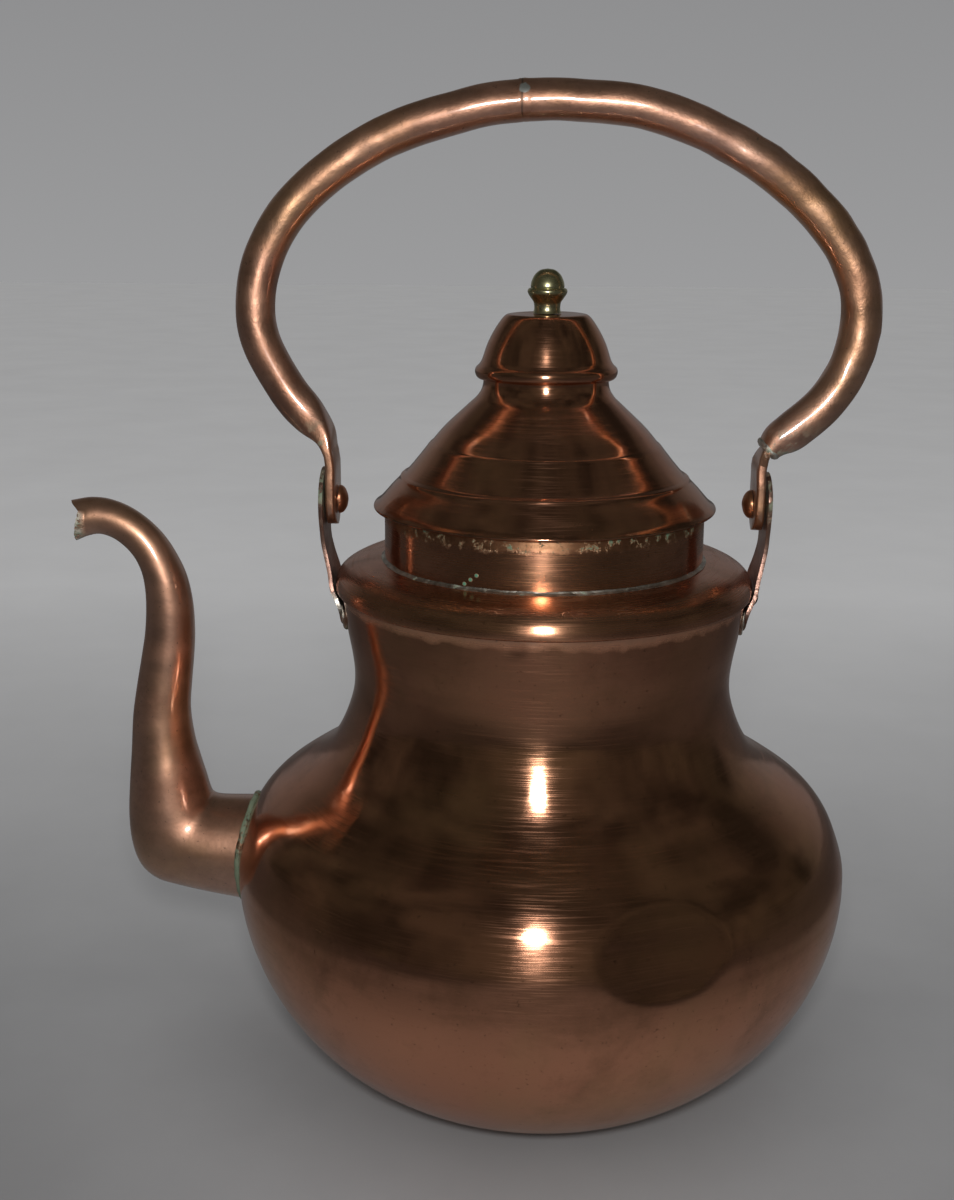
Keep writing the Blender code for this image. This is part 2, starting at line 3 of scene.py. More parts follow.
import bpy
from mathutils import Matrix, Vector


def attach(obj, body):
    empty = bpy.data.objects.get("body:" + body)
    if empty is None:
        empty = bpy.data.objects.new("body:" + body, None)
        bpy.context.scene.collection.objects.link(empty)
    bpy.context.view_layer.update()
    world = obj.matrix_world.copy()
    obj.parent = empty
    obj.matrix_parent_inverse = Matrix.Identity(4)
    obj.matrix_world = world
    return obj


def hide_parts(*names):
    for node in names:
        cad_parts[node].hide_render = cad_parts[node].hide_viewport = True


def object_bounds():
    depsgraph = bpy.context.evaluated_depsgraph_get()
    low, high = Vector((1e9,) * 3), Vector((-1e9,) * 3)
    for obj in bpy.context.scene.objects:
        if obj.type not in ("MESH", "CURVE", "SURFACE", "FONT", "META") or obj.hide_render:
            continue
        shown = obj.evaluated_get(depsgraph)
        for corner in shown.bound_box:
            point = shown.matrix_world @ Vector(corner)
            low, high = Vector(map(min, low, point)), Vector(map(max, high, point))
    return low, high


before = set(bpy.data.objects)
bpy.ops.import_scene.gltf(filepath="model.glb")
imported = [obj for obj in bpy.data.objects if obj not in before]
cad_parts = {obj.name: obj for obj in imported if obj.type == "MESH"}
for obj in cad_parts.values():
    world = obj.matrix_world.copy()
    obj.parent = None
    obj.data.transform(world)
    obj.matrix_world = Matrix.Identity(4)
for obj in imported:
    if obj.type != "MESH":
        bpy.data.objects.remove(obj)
CAD_BOX = [[float(v) for v in corner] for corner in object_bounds()]

import math

import bmesh
import bpy
import numpy as np
from mathutils import Matrix, Vector, noise

MM = 0.001
ROUND = 320  # sides of a large turned piece

# ---------------------------------------------------------------- sizes, as in the CAD, in mm
WALL, THIN, GAP = 1.2, 1.1, 0.3
BASE_RADIUS, BELLY_RADIUS, BELLY_HEIGHT, FULLNESS = 42.0, 118.0, 85.0, 1.85
NECK = [(118.0, 85), (117.6, 92.5), (115.4, 100), (111.9, 108), (106.3, 115), (98.2, 121), (89.0, 127)]
NECK += [(82.8, 132.5), (78.6, 138.5), (74.8, 147), (72.2, 156), (71.6, 164)]
NECK += [(72.4, 172), (74.0, 181), (75.4, 190), (76.7, 199)]
SHOULDER_EDGE, SHOULDER_FOOT, SHOULDER_TOP = 78.3, 196.8, 208.2
COLLAR_RADIUS, COLLAR_FOOT, COLLAR_TOP = 59.6, 203.0, 229.4
SPOUT = [
    ((-106.0, 107.6), (-110.0, 65.1), 21.6),
    ((-122.0, 107.3), (-130.0, 68.3), 20.4),
    ((-128.0, 107.5), (-144.0, 71.2), 19.6),
    ((-130.3, 108.6), (-153.0, 74.0), 19.0),
    ((-131.1, 110.6), (-159.3, 79.8), 18.3),
    ((-131.7, 113.2), (-162.5, 89.0), 17.4),
    ((-132.4, 116.4), (-163.3, 101.0), 16.4),
    ((-134.2, 123.0), (-162.3, 116.5), 14.8),
    ((-136.3, 132.0), (-161.0, 129.0), 12.7),
    ((-137.4, 144.0), (-159.6, 142.5), 11.3),
    ((-136.5, 155.0), (-157.6, 154.3), 10.7),
    ((-135.2, 166.0), (-155.2, 166.3), 10.1),
    ((-134.4, 176.0), (-153.3, 177.0), 9.5),
    ((-134.5, 187.0), (-152.4, 188.3), 9.0),
    ((-136.0, 196.5), (-152.9, 197.0), 8.5),
    ((-139.0, 204.6), (-154.6, 202.9), 8.0),
    ((-143.8, 212.8), (-157.2, 207.2), 7.4),
    ((-150.2, 219.7), (-160.8, 210.8), 7.0),
    ((-157.3, 224.8), (-164.6, 213.2), 6.9),
    ((-164.8, 227.7), (-168.8, 214.3), 7.0),
    ((-172.2, 228.3), (-173.2, 213.5), 7.4),
    ((-179.3, 227.0), (-177.8, 211.6), 7.7),
]
EAR = [
    (181.5, 74.6, 4.5),
    (183.0, 74.8, 8.2),
    (185.2, 75.2, 11.8),
    (188.0, 75.7, 14.0),
    (191.0, 76.5, 14.6),
    (194.3, 77.8, 14.0),
    (197.0, 78.9, 13.1),
    (202.0, 79.6, 11.2),
    (206.0, 80.3, 9.9),
    (210.0, 81.0, 9.2),
    (213.5, 81.5, 9.0),
    (218.0, 81.7, 9.4),
    (223.0, 81.8, 10.8),
    (229.0, 81.8, 12.0),
    (234.0, 81.8, 10.9),
    (237.5, 81.7, 8.5),
    (240.0, 81.6, 4.8),
    (241.0, 81.6, 1.8),
]
EAR_SHEET, EAR_WRAP, FOOT_RIVET_HEIGHT, EAR_BOW = 1.5, (203.0, 216.0), 193.5, 0.3
PIVOT_HEIGHT, SHANK_RADIUS = 229.0, 2.4
STRAP_FACE, STRAP_THICK, STRAP_HALF_WIDTH, STRAP_SHOULDER, STRAP_ROOT = 81.2, 4.0, 10.0, 9.7, 5.0
STRAP_SQUARENESS, STRAP_TOP, STRAP_END = 5.0, 243.0, 219.5
STRAP_X = STRAP_FACE - STRAP_THICK / 2
TUBE_RADIUS, TUBE_WALL, MOUTH = 7.3, 1.0, (4.7, 6.9)
JOINT_X, JOINT_HEIGHT = -9.0, 371.9  # the butt joint of the two tubes
BAIL_LEFT = [(JOINT_X, JOINT_HEIGHT), (-27, 369.4), (-54, 361.2), (-77, 348.6), (-93.5, 333.5), (-103.6, 316)]
BAIL_LEFT += [(-106.6, 300), (-104.2, 285.5), (-96, 270.5), (-87.8, 260.5), (-82.0, 253.5), (-79.6, 246.5)]
BAIL_RIGHT = [(JOINT_X, JOINT_HEIGHT), (8, 372.1), (36, 368.6), (68, 355.6), (93, 337), (107, 319.5)]
BAIL_RIGHT += [(112.8, 301), (110.4, 282.5), (102.2, 267.5), (91.7, 257.8), (85.6, 253.6), (82.3, 250.2)]
STRAP_RIGHT = [(99.0, 264.0), (91.7, 257.8), (85.6, 253.6), (82.3, 250.2), (80.3, 247.4), (79.4, 244.8)]
CROWN_TOP, TANG_RADIUS = 298.2, 2.3
SKIRT_RADIUS, SKIRT_FOOT, SKIRT_TOP = 57.9, 218.0, 231.4

BASE_LAP, BASE_RISE = 7.0, 1.1  # how far the base's edge reaches inside the body, and is set up there
DENT_AT, DENT_SIZE = (44, 99), (24, 15.5, 3.3)  # way round and height; half widths and depth
NICK_AT, NICK_SIZE = (-14, 193), (7, 3, 0.6)
DENT_ARC = 116  # radius along which the way round is measured
HOLE_HEIGHT, HOLE_HALF_WIDE, HOLE_HALF_HIGH = 87.0, 17.0, 17.5  # the body's opening for the spout
FOOT_BEAD_HEIGHT, FOOT_BEAD_REACH = 191.0, (15.5, 10.6)  # the solder under an ear's foot
PIVOT_HEAD, PIVOT_TAIL = (5.3, 3.3), (4.0, 1.2)  # radius and height
FOOT_HEADS, FOOT_TAIL = {"left": (3.4, 1.3), "right": (3.4, 2.4)}, (3.2, 0.9)
JOINT_SHIFT = 0.2  # each tube's end past its path, at the butt joint
STRAP_SLOT = (2.1, 5.2)  # the hole in the strap's solder
LID_RUNS = [
    [(23.0, 278.6), (23.1, 272.5), (25.0, 268.6), (28.8, 264.9), (36.8, 257.4), (41.6, 251.9), (42.5, 251.2)],
    [(42.5, 251.2), (43.1, 250.5), (44.3, 248.9), (48.1, 244.2), (51.4, 240.4), (52.3, 239.8)],
    [(52.3, 239.8), (53.4, 239.2), (54.2, 237.9), (57.3, 234.7), (60.0, 231.6), (61.8, 229.7), (63.8, 228.2)],
]
CROWN_FLAT = [(TANG_RADIUS + GAP, CROWN_TOP), (6.0, CROWN_TOP), (9.0, CROWN_TOP), (13.4, CROWN_TOP)]
CROWN_BULB = [(13.7, 298.2), (14.9, 297.9), (16.5, 296.4), (19.2, 292.4)]
CROWN_BULB += [(21.6, 287.6), (23.2, 282.8), (23.8, 281.3)]
CROWN_BEAD = [(23.8, 281.3), (24.6, 280.1), (25.8, 278.9), (26.1, 277.4), (25.6, 275.9), (24.7, 275.0)]
KNOB_BALL = [(0, 314.3), (2.6, 313.8), (4.6, 312.2), (5.7, 310.1), (6.1, 308.4), (6.0, 307.5)]
KNOB_BEAD = [(6.0, 307.5), (6.9, 307.1), (7.2, 306.3), (6.9, 305.3), (6.2, 304.2), (5.4, 303.1)]
KNOB_WAIST = [(5.4, 303.1), (4.9, 302.2), (4.7, 300.8), (4.8, 299.5), (5.2, 298.5)]
WASHER_HOLE, WASHER_RADIUS, WASHER_THICK = 2.6, 6.5, 1.2

# ---------------------------------------------------------------- camera
CAMERA_AT = (0.0, -0.553, 0.3365)
CAMERA_DOWN, CAMERA_TURN, CAMERA_ROLL = 14.78, 2.58, 0.3  # degrees
LENS = 45.0  # mm on a 36 mm sensor


def make_camera():
    camera = bpy.data.objects.new("camera", bpy.data.cameras.new("camera"))
    camera.data.sensor_width = 36
    camera.data.lens = LENS
    camera.data.clip_start = 0.01
    turn = Matrix.Rotation(math.radians(CAMERA_TURN), 4, "Z")
    tilt = Matrix.Rotation(math.radians(90 - CAMERA_DOWN), 4, "X")
    roll = Matrix.Rotation(math.radians(CAMERA_ROLL), 4, "Z")
    camera.matrix_world = Matrix.Translation(CAMERA_AT) @ turn @ tilt @ roll
    bpy.context.scene.collection.objects.link(camera)
    bpy.context.scene.camera = camera


# ---------------------------------------------------------------- shape helpers
def smooth_path(points, per_span):
    """A Catmull-Rom curve through the points."""
    known = np.array(points, float)
    padded = np.vstack([2 * known[0] - known[1], known, 2 * known[-1] - known[-2]])
    steps = np.linspace(0, 1, per_span, endpoint=False)[:, None]
    spans = []
    for a, b, c, d in zip(padded, padded[1:], padded[2:], padded[3:]):
        cubic = (3 * b - a - 3 * c + d) * steps**3
        spans.append(b + 0.5 * ((c - a) * steps + (2 * a - 5 * b + 4 * c - d) * steps**2 + cubic))
    return np.vstack([*spans, known[-1:]])


def unit(vectors):
    return vectors / np.maximum(np.linalg.norm(vectors, axis=-1, keepdims=True), 1e-9)


def sheet_section(outer, wall):
    """The closed section of a sheet from its outer side, top to bottom, with rounded edges."""
    line = np.array(outer, float)
    along = unit(np.gradient(line, axis=0))
    inward = np.stack([along[:, 1], -along[:, 0]], 1)
    inner = line + wall * inward
    half = wall / 2
    foot_shift, head_shift = half * along[-1], -half * along[0]
    foot, head = [], []
    for turn in np.radians([30, 60, 90, 120, 150]):
        over, out = half * (1 - math.cos(turn)), half * math.sin(turn)
        foot.append(line[-1] + over * inward[-1] + out * along[-1] - foot_shift)
        head.append(inner[0] - over * inward[0] - out * along[0] - head_shift)
    for side in (line, inner):
        side[0] -= head_shift
        side[-1] -= foot_shift
    return np.vstack([line, foot, inner[::-1], head])


def piece(name, points, faces, material, body, *nodes, smooth_under=40):
    """A mesh from points in mm that rides on a body and stands for CAD nodes."""
    mesh = bpy.data.meshes.new(name)
    low, high = CAD_BOX
    mesh.from_pydata(np.clip(np.array(points) * MM, low, high).tolist(), [], faces)
    work = bmesh.new()
    work.from_mesh(mesh)
    bmesh.ops.remove_doubles(work, verts=work.verts, dist=1e-6)
    bmesh.ops.recalc_face_normals(work, faces=work.faces)
    work.to_mesh(mesh)
    work.free()
    mesh.shade_smooth()
    mesh.set_sharp_from_angle(angle=math.radians(smooth_under))
    obj = bpy.data.objects.new(name, mesh)
    mesh.materials.append(material)
    bpy.context.scene.collection.objects.link(obj)
    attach(obj, body)
    if nodes:
        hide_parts(*nodes)
    return obj


def grid_faces(rows, columns, closed_rows=False, first=0):
    faces = []
    for row in range(rows if closed_rows else rows - 1):
        for column in range(columns):
            a = first + row * columns + column
            b = first + row * columns + (column + 1) % columns
            c = first + ((row + 1) % rows) * columns + (column + 1) % columns
            d = first + ((row + 1) % rows) * columns + column
            faces.append((a, b, c, d))
    return faces


def turned_points(section, sides=ROUND):
    section = np.array(section, float)
    turns = np.linspace(0, 2 * math.pi, sides, endpoint=False)
    r, z = section[:, :1], section[:, 1:]
    return np.stack([r * np.cos(turns), r * np.sin(turns), np.repeat(z, sides, 1)], -1).reshape(-1, 3)


def turned(name, section, material, body, *nodes, sides=ROUND, change=None, smooth_under=40):
    """A piece turned about Z. The section is a closed loop, unless it starts and ends on the axis."""
    closed = abs(section[0][0]) > 1e-6
    points = turned_points(section, sides)
    if change is not None:
        points = change(points)
    faces = grid_faces(len(section), sides, closed)
    return piece(name, points, faces, material, body, *nodes, smooth_under=smooth_under)


def wobble(points, scale, amount, seed=0.0):
    """Small hand-made unevenness: each point moves by a smooth noise of the given scale in mm."""
    moved = np.array(points, float)
    for i, p in enumerate(moved):
        moved[i] += amount * np.array(noise.noise_vector(Vector(p) / scale + Vector((seed, seed, seed))))
    return moved


def uneven(*layers):
    """A change for turned and loft: wobbles of (scale, amount, seed), one after the other."""
    def change(points):
        for scale, amount, seed in layers:
            points = wobble(points, scale, amount, seed)
        return points
    return change


def ring(centre, across, half_across, half_wide, power=2.0, count=48):
    """An oval in the plane of Y and the across direction. A higher power makes it squarer."""
    turn = 2 * math.pi * (np.arange(count) + 0.5) / count
    cos, sin = np.cos(turn), np.sin(turn)
    a = np.sign(cos) * np.abs(cos) ** (2 / power) * half_across
    b = np.sign(sin) * np.abs(sin) ** (2 / power) * half_wide
    return np.stack([centre[0] + across[0] * a, b, centre[1] + across[1] * a], -1)


def loft(name, outer, inner, material, body, *nodes, change=None, blind=False, smooth_under=40):
    """A tube skinned over rings: open at both ends, with a blind bore, or solid without inner rings."""
    sides = len(outer[0])
    points = np.vstack(outer)
    last = (len(outer) - 1) * sides
    faces = grid_faces(len(outer), sides)
    if inner is None:
        faces += [tuple(range(sides)), tuple(range(last, last + sides))]
    else:
        start = len(points)
        points = np.vstack([points, *inner])
        inner_last = start + (len(inner) - 1) * sides
        faces += grid_faces(len(inner), sides, first=start)
        for side in range(sides):
            after = (side + 1) % sides
            faces.append((side, after, start + after, start + side))
            if not blind:
                faces.append((last + side, last + after, inner_last + after, inner_last + side))
        if blind:
            faces += [tuple(range(last, last + sides)), tuple(range(inner_last, inner_last + sides))]
    if change is not None:
        points = change(points)
    return piece(name, points, faces, material, body, *nodes, smooth_under=smooth_under)


# ---------------------------------------------------------------- materials
class Nodes:
    """A short way to write node trees."""

    def __init__(self, tree):
        self.tree = tree
        self.coords = tree.nodes.new("ShaderNodeTexCoord").outputs["Object"]

    def add(self, kind, settings=(), **inputs):
        node = self.tree.nodes.new(kind)
        for key, value in dict(settings).items():
            setattr(node, key, value)
        for key, value in inputs.items():
            socket = node.inputs[int(key[1:])] if key[0] == "_" else node.inputs[key.replace("_", " ")]
            if isinstance(value, bpy.types.NodeSocket):
                self.tree.links.new(value, socket)
            else:
                socket.default_value = value
        return node

    def math(self, operation, a, b=0.0, c=0.0):
        return self.add("ShaderNodeMath", {"operation": operation}, _0=a, _1=b, _2=c).outputs[0]

    def noise(self, scale, detail=4.0, stretch=(1, 1, 1), rough=0.55, distortion=0.0, shift=0.0):
        place = self.add("ShaderNodeMapping", Vector=self.coords, Scale=stretch, Location=(shift,) * 3)
        node = self.add(
            "ShaderNodeTexNoise", Vector=place.outputs[0], Scale=scale, Detail=detail, Roughness=rough,
            Distortion=distortion,
        )
        return node.outputs["Fac"]

    def ramp(self, value, low, high, to_low=0.0, to_high=1.0):
        node = self.add(
            "ShaderNodeMapRange", {"clamp": True}, Value=value, From_Min=low, From_Max=high, To_Min=to_low,
            To_Max=to_high,
        )
        return node.outputs[0]

    def mix(self, factor, a, b):
        node = self.tree.nodes.new("ShaderNodeMix")
        node.data_type = "RGBA"
        for socket, value in zip((node.inputs[0], node.inputs[6], node.inputs[7]), (factor, a, b)):
            if isinstance(value, bpy.types.NodeSocket):
                self.tree.links.new(value, socket)
            else:
                socket.default_value = (*value, 1) if isinstance(value, tuple) and len(value) == 3 else value
        return node.outputs[2]

    def axes(self):
        return self.add("ShaderNodeSeparateXYZ", Vector=self.coords).outputs

    def radius(self):
        x, y, _ = self.axes()
        return self.math("SQRT", self.math("ADD", self.math("MULTIPLY", x, x), self.math("MULTIPLY", y, y)))

    def band(self, value, centre, half):
        """1 at the centre, falling to 0 at half away on each side. All in metres."""
        away = self.math("ABSOLUTE", self.math("SUBTRACT", value, centre))
        return self.ramp(away, 0, half, 1, 0)


def new_material(name):
    material = bpy.data.materials.new(name)
    material.use_nodes = True
    shader = material.node_tree.nodes["Principled BSDF"]
    return material, Nodes(material.node_tree), shader


def brush_round(n, shader, roughness, amount):
    """Fine grooves that run round the Z axis and stretch the highlights."""
    grooves = n.ramp(n.noise(2600, 1, stretch=(0.02, 0.02, 1.5), shift=14.0), 0.5, 0.66)
    shader.inputs["Anisotropic"].default_value = amount
    shader.inputs["Anisotropic Rotation"].default_value = 0.25
    tangent = n.add("ShaderNodeTangent", {"direction_type": "RADIAL", "axis": "Z"})
    n.tree.links.new(tangent.outputs[0], shader.inputs["Tangent"])
    return n.math("ADD", roughness, n.math("MULTIPLY", grooves, 0.09))


def metal(
    name, bright, dark, tarnish=0.5, rough=(0.12, 0.3), dents=0.0, dent_size=60, scratches=0.3, extra=None,
    brushed=0.0, ochre=(0.92, 1.12, 0.95), pits=0.0, film=0.0,
):
    """Old polished metal: cloudy tarnish, ochre patches, fine scratches, specks and soft hammer marks."""
    material, n, shader = new_material(name)
    cloud = n.noise(16, 6, rough=0.62, distortion=0.8)
    spots = n.noise(110, 5, rough=0.7, shift=3.0)
    stain = n.math("ADD", n.math("MULTIPLY", cloud, 0.65), n.math("MULTIPLY", spots, 0.35))
    stain = n.ramp(stain, 0.60 - 0.22 * tarnish, 0.78 - 0.22 * tarnish)
    color = n.mix(n.math("MULTIPLY", stain, 0.75), bright, dark)
    yellow = tuple(v * share for v, share in zip(bright, ochre))
    color = n.mix(n.ramp(n.noise(14, 5, shift=9.0), 0.45, 0.68, 0, 0.6), color, yellow)
    lines = n.noise(260, 4, stretch=(0.05, 0.05, 1.6), rough=0.65, shift=1.0)
    smear = n.noise(70, 5, stretch=(0.4, 0.4, 1.4), rough=0.65, shift=5.0)
    roughness = n.math("ADD", n.ramp(smear, 0.3, 0.75, rough[0], rough[1]), n.math("MULTIPLY", stain, 0.06))
    if brushed:
        roughness = brush_round(n, shader, roughness, brushed)
    if film:
        shader.inputs["Coat Weight"].default_value = film
        shader.inputs["Coat Roughness"].default_value = 0.12
        shader.inputs["Coat IOR"].default_value = 2.1
    specks = n.ramp(n.noise(650, 2, shift=7.0), 0.66, 0.76)
    color = n.mix(n.math("MULTIPLY", specks, 0.55), color, tuple(0.4 * v for v in dark))
    height = n.math("MULTIPLY", lines, 0.06 * scratches)
    if dents:
        hammer = n.add("ShaderNodeTexVoronoi", {"feature": "SMOOTH_F1"}, Vector=n.coords, Scale=dent_size,
                       Smoothness=0.9)
        height = n.math("ADD", height, n.math("MULTIPLY", hammer.outputs["Distance"], dents))
    if pits:
        height = n.math("ADD", height, n.math("MULTIPLY", n.noise(330, 4, rough=0.7, shift=12.0), pits))
    height = n.math("ADD", height, n.math("MULTIPLY", n.noise(45, 3, shift=4.0), 0.3 * dents + 0.08))
    dull = 0.0
    if extra is not None:
        color, roughness, height, dull = extra(n, color, roughness, height)
    bump = n.add("ShaderNodeBump", Height=height, Distance=0.001, Strength=1.0)
    links = material.node_tree.links
    links.new(color, shader.inputs["Base Color"])
    links.new(roughness, shader.inputs["Roughness"])
    links.new(bump.outputs[0], shader.inputs["Normal"])
    shader.inputs["Metallic"].default_value = 1.0
    if isinstance(dull, bpy.types.NodeSocket):
        links.new(n.math("SUBTRACT", 1.0, dull), shader.inputs["Metallic"])
    return material


COPPER_BRIGHT, COPPER_DARK = (0.72, 0.335, 0.20), (0.40, 0.195, 0.11)
WORN_BRIGHT, WORN_DARK = (0.76, 0.41, 0.27), (0.36, 0.165, 0.095)
WORN = {"scratches": 0.0, "ochre": (0.92, 1.0, 0.66), "film": 1.0}  # spout and bail: worn, filmed over
VERDIGRIS = (0.085, 0.16, 0.11)


def body_details(n, color, roughness, height):
    """A dark, dull band on the body in the seam under the shoulder's edge."""
    z = n.axes()[2]
    ragged = n.math("ADD", z, n.ramp(n.noise(120, 4), 0, 1, -0.003, 0.003))
    seam = n.math("MULTIPLY", n.band(ragged, (SHOULDER_FOOT - GAP) * MM, 0.004), 0.7)
    color = n.mix(seam, color, (0.08, 0.06, 0.045))
    roughness = n.math("ADD", roughness, n.math("MULTIPLY", seam, 0.35))
    return color, roughness, height, n.math("MULTIPLY", seam, 0.8)


def collar_details(n, color, roughness, height):
    """The mottled orange and green band under the lid's rim, its crust line, and a row of green dots."""
    x, y, z = n.axes()
    edge = n.math("ADD", z, n.ramp(n.noise(220, 5, rough=0.7), 0, 1, -0.003, 0.003))
    band = n.ramp(edge, 0.2222, 0.2245)
    mottle = n.ramp(n.noise(320, 5, rough=0.75, shift=2.0), 0.42, 0.6)
    green = n.math("MULTIPLY", band, n.ramp(n.noise(260, 5, rough=0.75, shift=8.0), 0.54, 0.62))
    orange = n.mix(mottle, (0.44, 0.23, 0.12), (0.60, 0.34, 0.19))
    color = n.mix(n.math("MULTIPLY", band, 0.85), color, orange)
    color = n.mix(green, color, (0.16, 0.24, 0.15))
    crust = n.math("MULTIPLY", n.ramp(edge, 0.2281, 0.2288), n.ramp(n.noise(400, 3, shift=4.0), 0.35, 0.5))
    color = n.mix(n.math("MULTIPLY", crust, 0.8), color, (0.24, 0.25, 0.18))
    dull = n.math("MAXIMUM", green, crust)
    front = n.math("LESS_THAN", y, 0.0)
    first_dot, dot_step = (-0.0290, 0.2085), (0.0021, 0.0017)
    for index in range(4):
        across, up = (start + step * index for start, step in zip(first_dot, dot_step))
        away = n.math("ADD", n.math("POWER", n.math("SUBTRACT", x, across), 2.0),
                      n.math("POWER", n.math("SUBTRACT", z, up), 2.0))
        dot = n.math("MULTIPLY", n.ramp(n.math("SQRT", away), 0.0005, 0.0008, 1, 0), front)
        color = n.mix(dot, color, (0.10, 0.26, 0.17))
        dull = n.math("MAXIMUM", dull, dot)
    roughness = n.math("ADD", roughness, n.math("MULTIPLY", n.math("MAXIMUM", dull, band), 0.3))
    return color, roughness, n.math("ADD", height, n.math("MULTIPLY", dull, 0.12)), dull


def lid_details(n, color, roughness, height):
    """Turning marks in rings, darker near the rim."""
    radius = n.radius()
    rings = n.math("SINE", n.math("MULTIPLY", radius, 2600.0))
    height = n.math("ADD", height, n.math("MULTIPLY", rings, 0.004))
    grime = n.math("MULTIPLY", n.ramp(radius, 0.060, 0.0635), n.ramp(n.noise(150, 4), 0.4, 0.6))
    return n.mix(n.math("MULTIPLY", grime, 0.5), color, (0.14, 0.08, 0.05)), roughness, height, 0.0


def solder_material(name, green, tones=((0.30, 0.26, 0.21), (0.70, 0.66, 0.58)), rough=(0.3, 0.55)):
    material, n, shader = new_material(name)
    lump = n.noise(180, 5, rough=0.7)
    fine = n.noise(900, 4, rough=0.7, shift=2.0)
    color = n.mix(n.ramp(lump, 0.38, 0.62), *tones)
    patina = n.ramp(n.noise(170, 5, rough=0.75, shift=6.0), 0.62 - 0.3 * green, 0.70 - 0.3 * green)
    color = n.mix(n.math("MULTIPLY", patina, 0.85), color, n.mix(fine, VERDIGRIS, (0.22, 0.27, 0.17)))
    height = n.math("ADD", n.math("MULTIPLY", lump, 0.5), n.math("MULTIPLY", fine, 0.12))
    bump = n.add("ShaderNodeBump", Height=height, Distance=0.001, Strength=1.0)
    links = material.node_tree.links
    links.new(color, shader.inputs["Base Color"])
    links.new(n.math("SUBTRACT", 1.0, n.math("MULTIPLY", patina, 0.95)), shader.inputs["Metallic"])
    links.new(n.ramp(fine, 0.3, 0.7, *rough), shader.inputs["Roughness"])
    links.new(bump.outputs[0], shader.inputs["Normal"])
    return material


# ---------------------------------------------------------------- body
def body_line():
    """The outer side of the belly and neck, from the neck's top down to the base."""
    upper = smooth_path(NECK, 6)[::-1]
    turn = np.linspace(0, math.pi / 2, 60)[1:]
    out = np.clip(np.cos(turn), 0, 1) ** (2 / FULLNESS)
    radius = BASE_RADIUS + GAP + (BELLY_RADIUS - BASE_RADIUS - GAP) * out
    height = BELLY_HEIGHT * (1 - np.sin(turn) ** (2 / FULLNESS))
    return np.vstack([upper, np.stack([radius, height], 1)])


BODY_LINE = body_line()


def body_radius(height):
    return np.interp(height, BODY_LINE[::-1, 1], BODY_LINE[::-1, 0])


def dented(points):
    """The oval dent right of the middle of the belly, a nick under the shoulder, and slow unevenness."""
    moved = wobble(points, 70.0, 0.35)
    outward = unit(points * [1, 1, 0])
    front = points[:, 1] < 0
    round_way = np.arctan2(points[:, 0], -points[:, 1]) * DENT_ARC
    for (across, up), (wide, high, deep) in ((DENT_AT, DENT_SIZE), (NICK_AT, NICK_SIZE)):
        away = ((round_way - across) / wide) ** 2 + ((points[:, 2] - up) / high) ** 2
        moved -= outward * (deep * np.clip(1 - away, 0, 1) * front)[:, None]
    return moved


def body_pieces():
    shell_piece()
    base_piece()
    shoulder_piece()
    collar_pieces()


def shell_piece():
    copper = metal(
        "aged_copper_body", COPPER_BRIGHT, COPPER_DARK, tarnish=0.5, rough=(0.09, 0.16), dents=0.10,
        dent_size=55, scratches=0.5, extra=body_details, brushed=0.85,
    )
    section = sheet_section(BODY_LINE, WALL)
    shell = turned("kettle_body", section, copper, "kettle", "body_shell", change=dented)
    open_spout_hole(shell)


def base_piece():
    """The flat bottom. Its edge is set up and reaches inside the body."""
    edge, lap, rise = BASE_RADIUS - GAP / 2, BASE_LAP, BASE_RISE
    under = [(edge, 0), (edge, WALL + GAP), (edge + lap / 2, WALL + rise / 2), (edge + lap, WALL + rise)]
    over = [(edge - 0.7, 2 * WALL + 0.2), (edge + lap / 2, 2 * WALL + rise / 2 - 0.1)]
    over.append((edge + lap, 2 * WALL + rise - 0.1))
    plate = [(0, WALL), (edge - 2, WALL), *over, *under[::-1], (edge - 0.6, 0), (edge / 2, 0), (0, 0)]
    sooted = metal(
        "sooted_copper_base", (0.45, 0.24, 0.16), (0.12, 0.08, 0.06), tarnish=0.9, rough=(0.3, 0.5),
        dents=0.15, dent_size=45,
    )
    turned("base_disc", plate, sooted, "kettle", "base_plate", sides=128, smooth_under=30)


def shoulder_piece():
    edge = SHOULDER_EDGE
    curve = [(COLLAR_RADIUS + GAP, SHOULDER_TOP), (69, 207.0), (74.4, 205.0), (77.2, 202.6), (edge, 199.8)]
    line = np.vstack([smooth_path(curve, 8), [(edge, 198.3), (edge - 0.1, SHOULDER_FOOT)]])
    copper = metal(
        "aged_copper_shoulder", COPPER_BRIGHT, COPPER_DARK, tarnish=0.65, rough=(0.16, 0.30), dents=0.15,
        brushed=0.8,
    )
    turned("shoulder_ring", sheet_section(line, WALL), copper, "kettle", "shoulder_plate",
           change=uneven((40.0, 0.3, 4.0)))


def collar_pieces():
    """The upright ring that the lid sits on, and the solder bead at its foot."""
    line = [(COLLAR_RADIUS, z) for z in np.linspace(COLLAR_TOP, COLLAR_FOOT, 14)]
    copper = metal(
        "aged_copper_collar", COPPER_BRIGHT, COPPER_DARK, tarnish=0.7, rough=(0.12, 0.24), dents=0.08,
        extra=collar_details, brushed=0.85,
    )
    turned("collar_ring", sheet_section(line, WALL), copper, "kettle", "lid_collar",
           change=uneven((30.0, 0.22, 8.0)))
    near, low = COLLAR_RADIUS + 0.1, SHOULDER_TOP + 0.1
    bead = [(near - 0.1, low + 1.1), (near + 0.4, low + 0.4), (near + 1.2, low), (near + 0.3, low - 0.6)]
    pale = solder_material("pale_solder", 0.1)
    turned("collar_bead", smooth_path(bead, 4), pale, "kettle", "collar_solder",
           change=uneven((9.0, 0.3, 1.0), (3.0, 0.12, 6.0)))


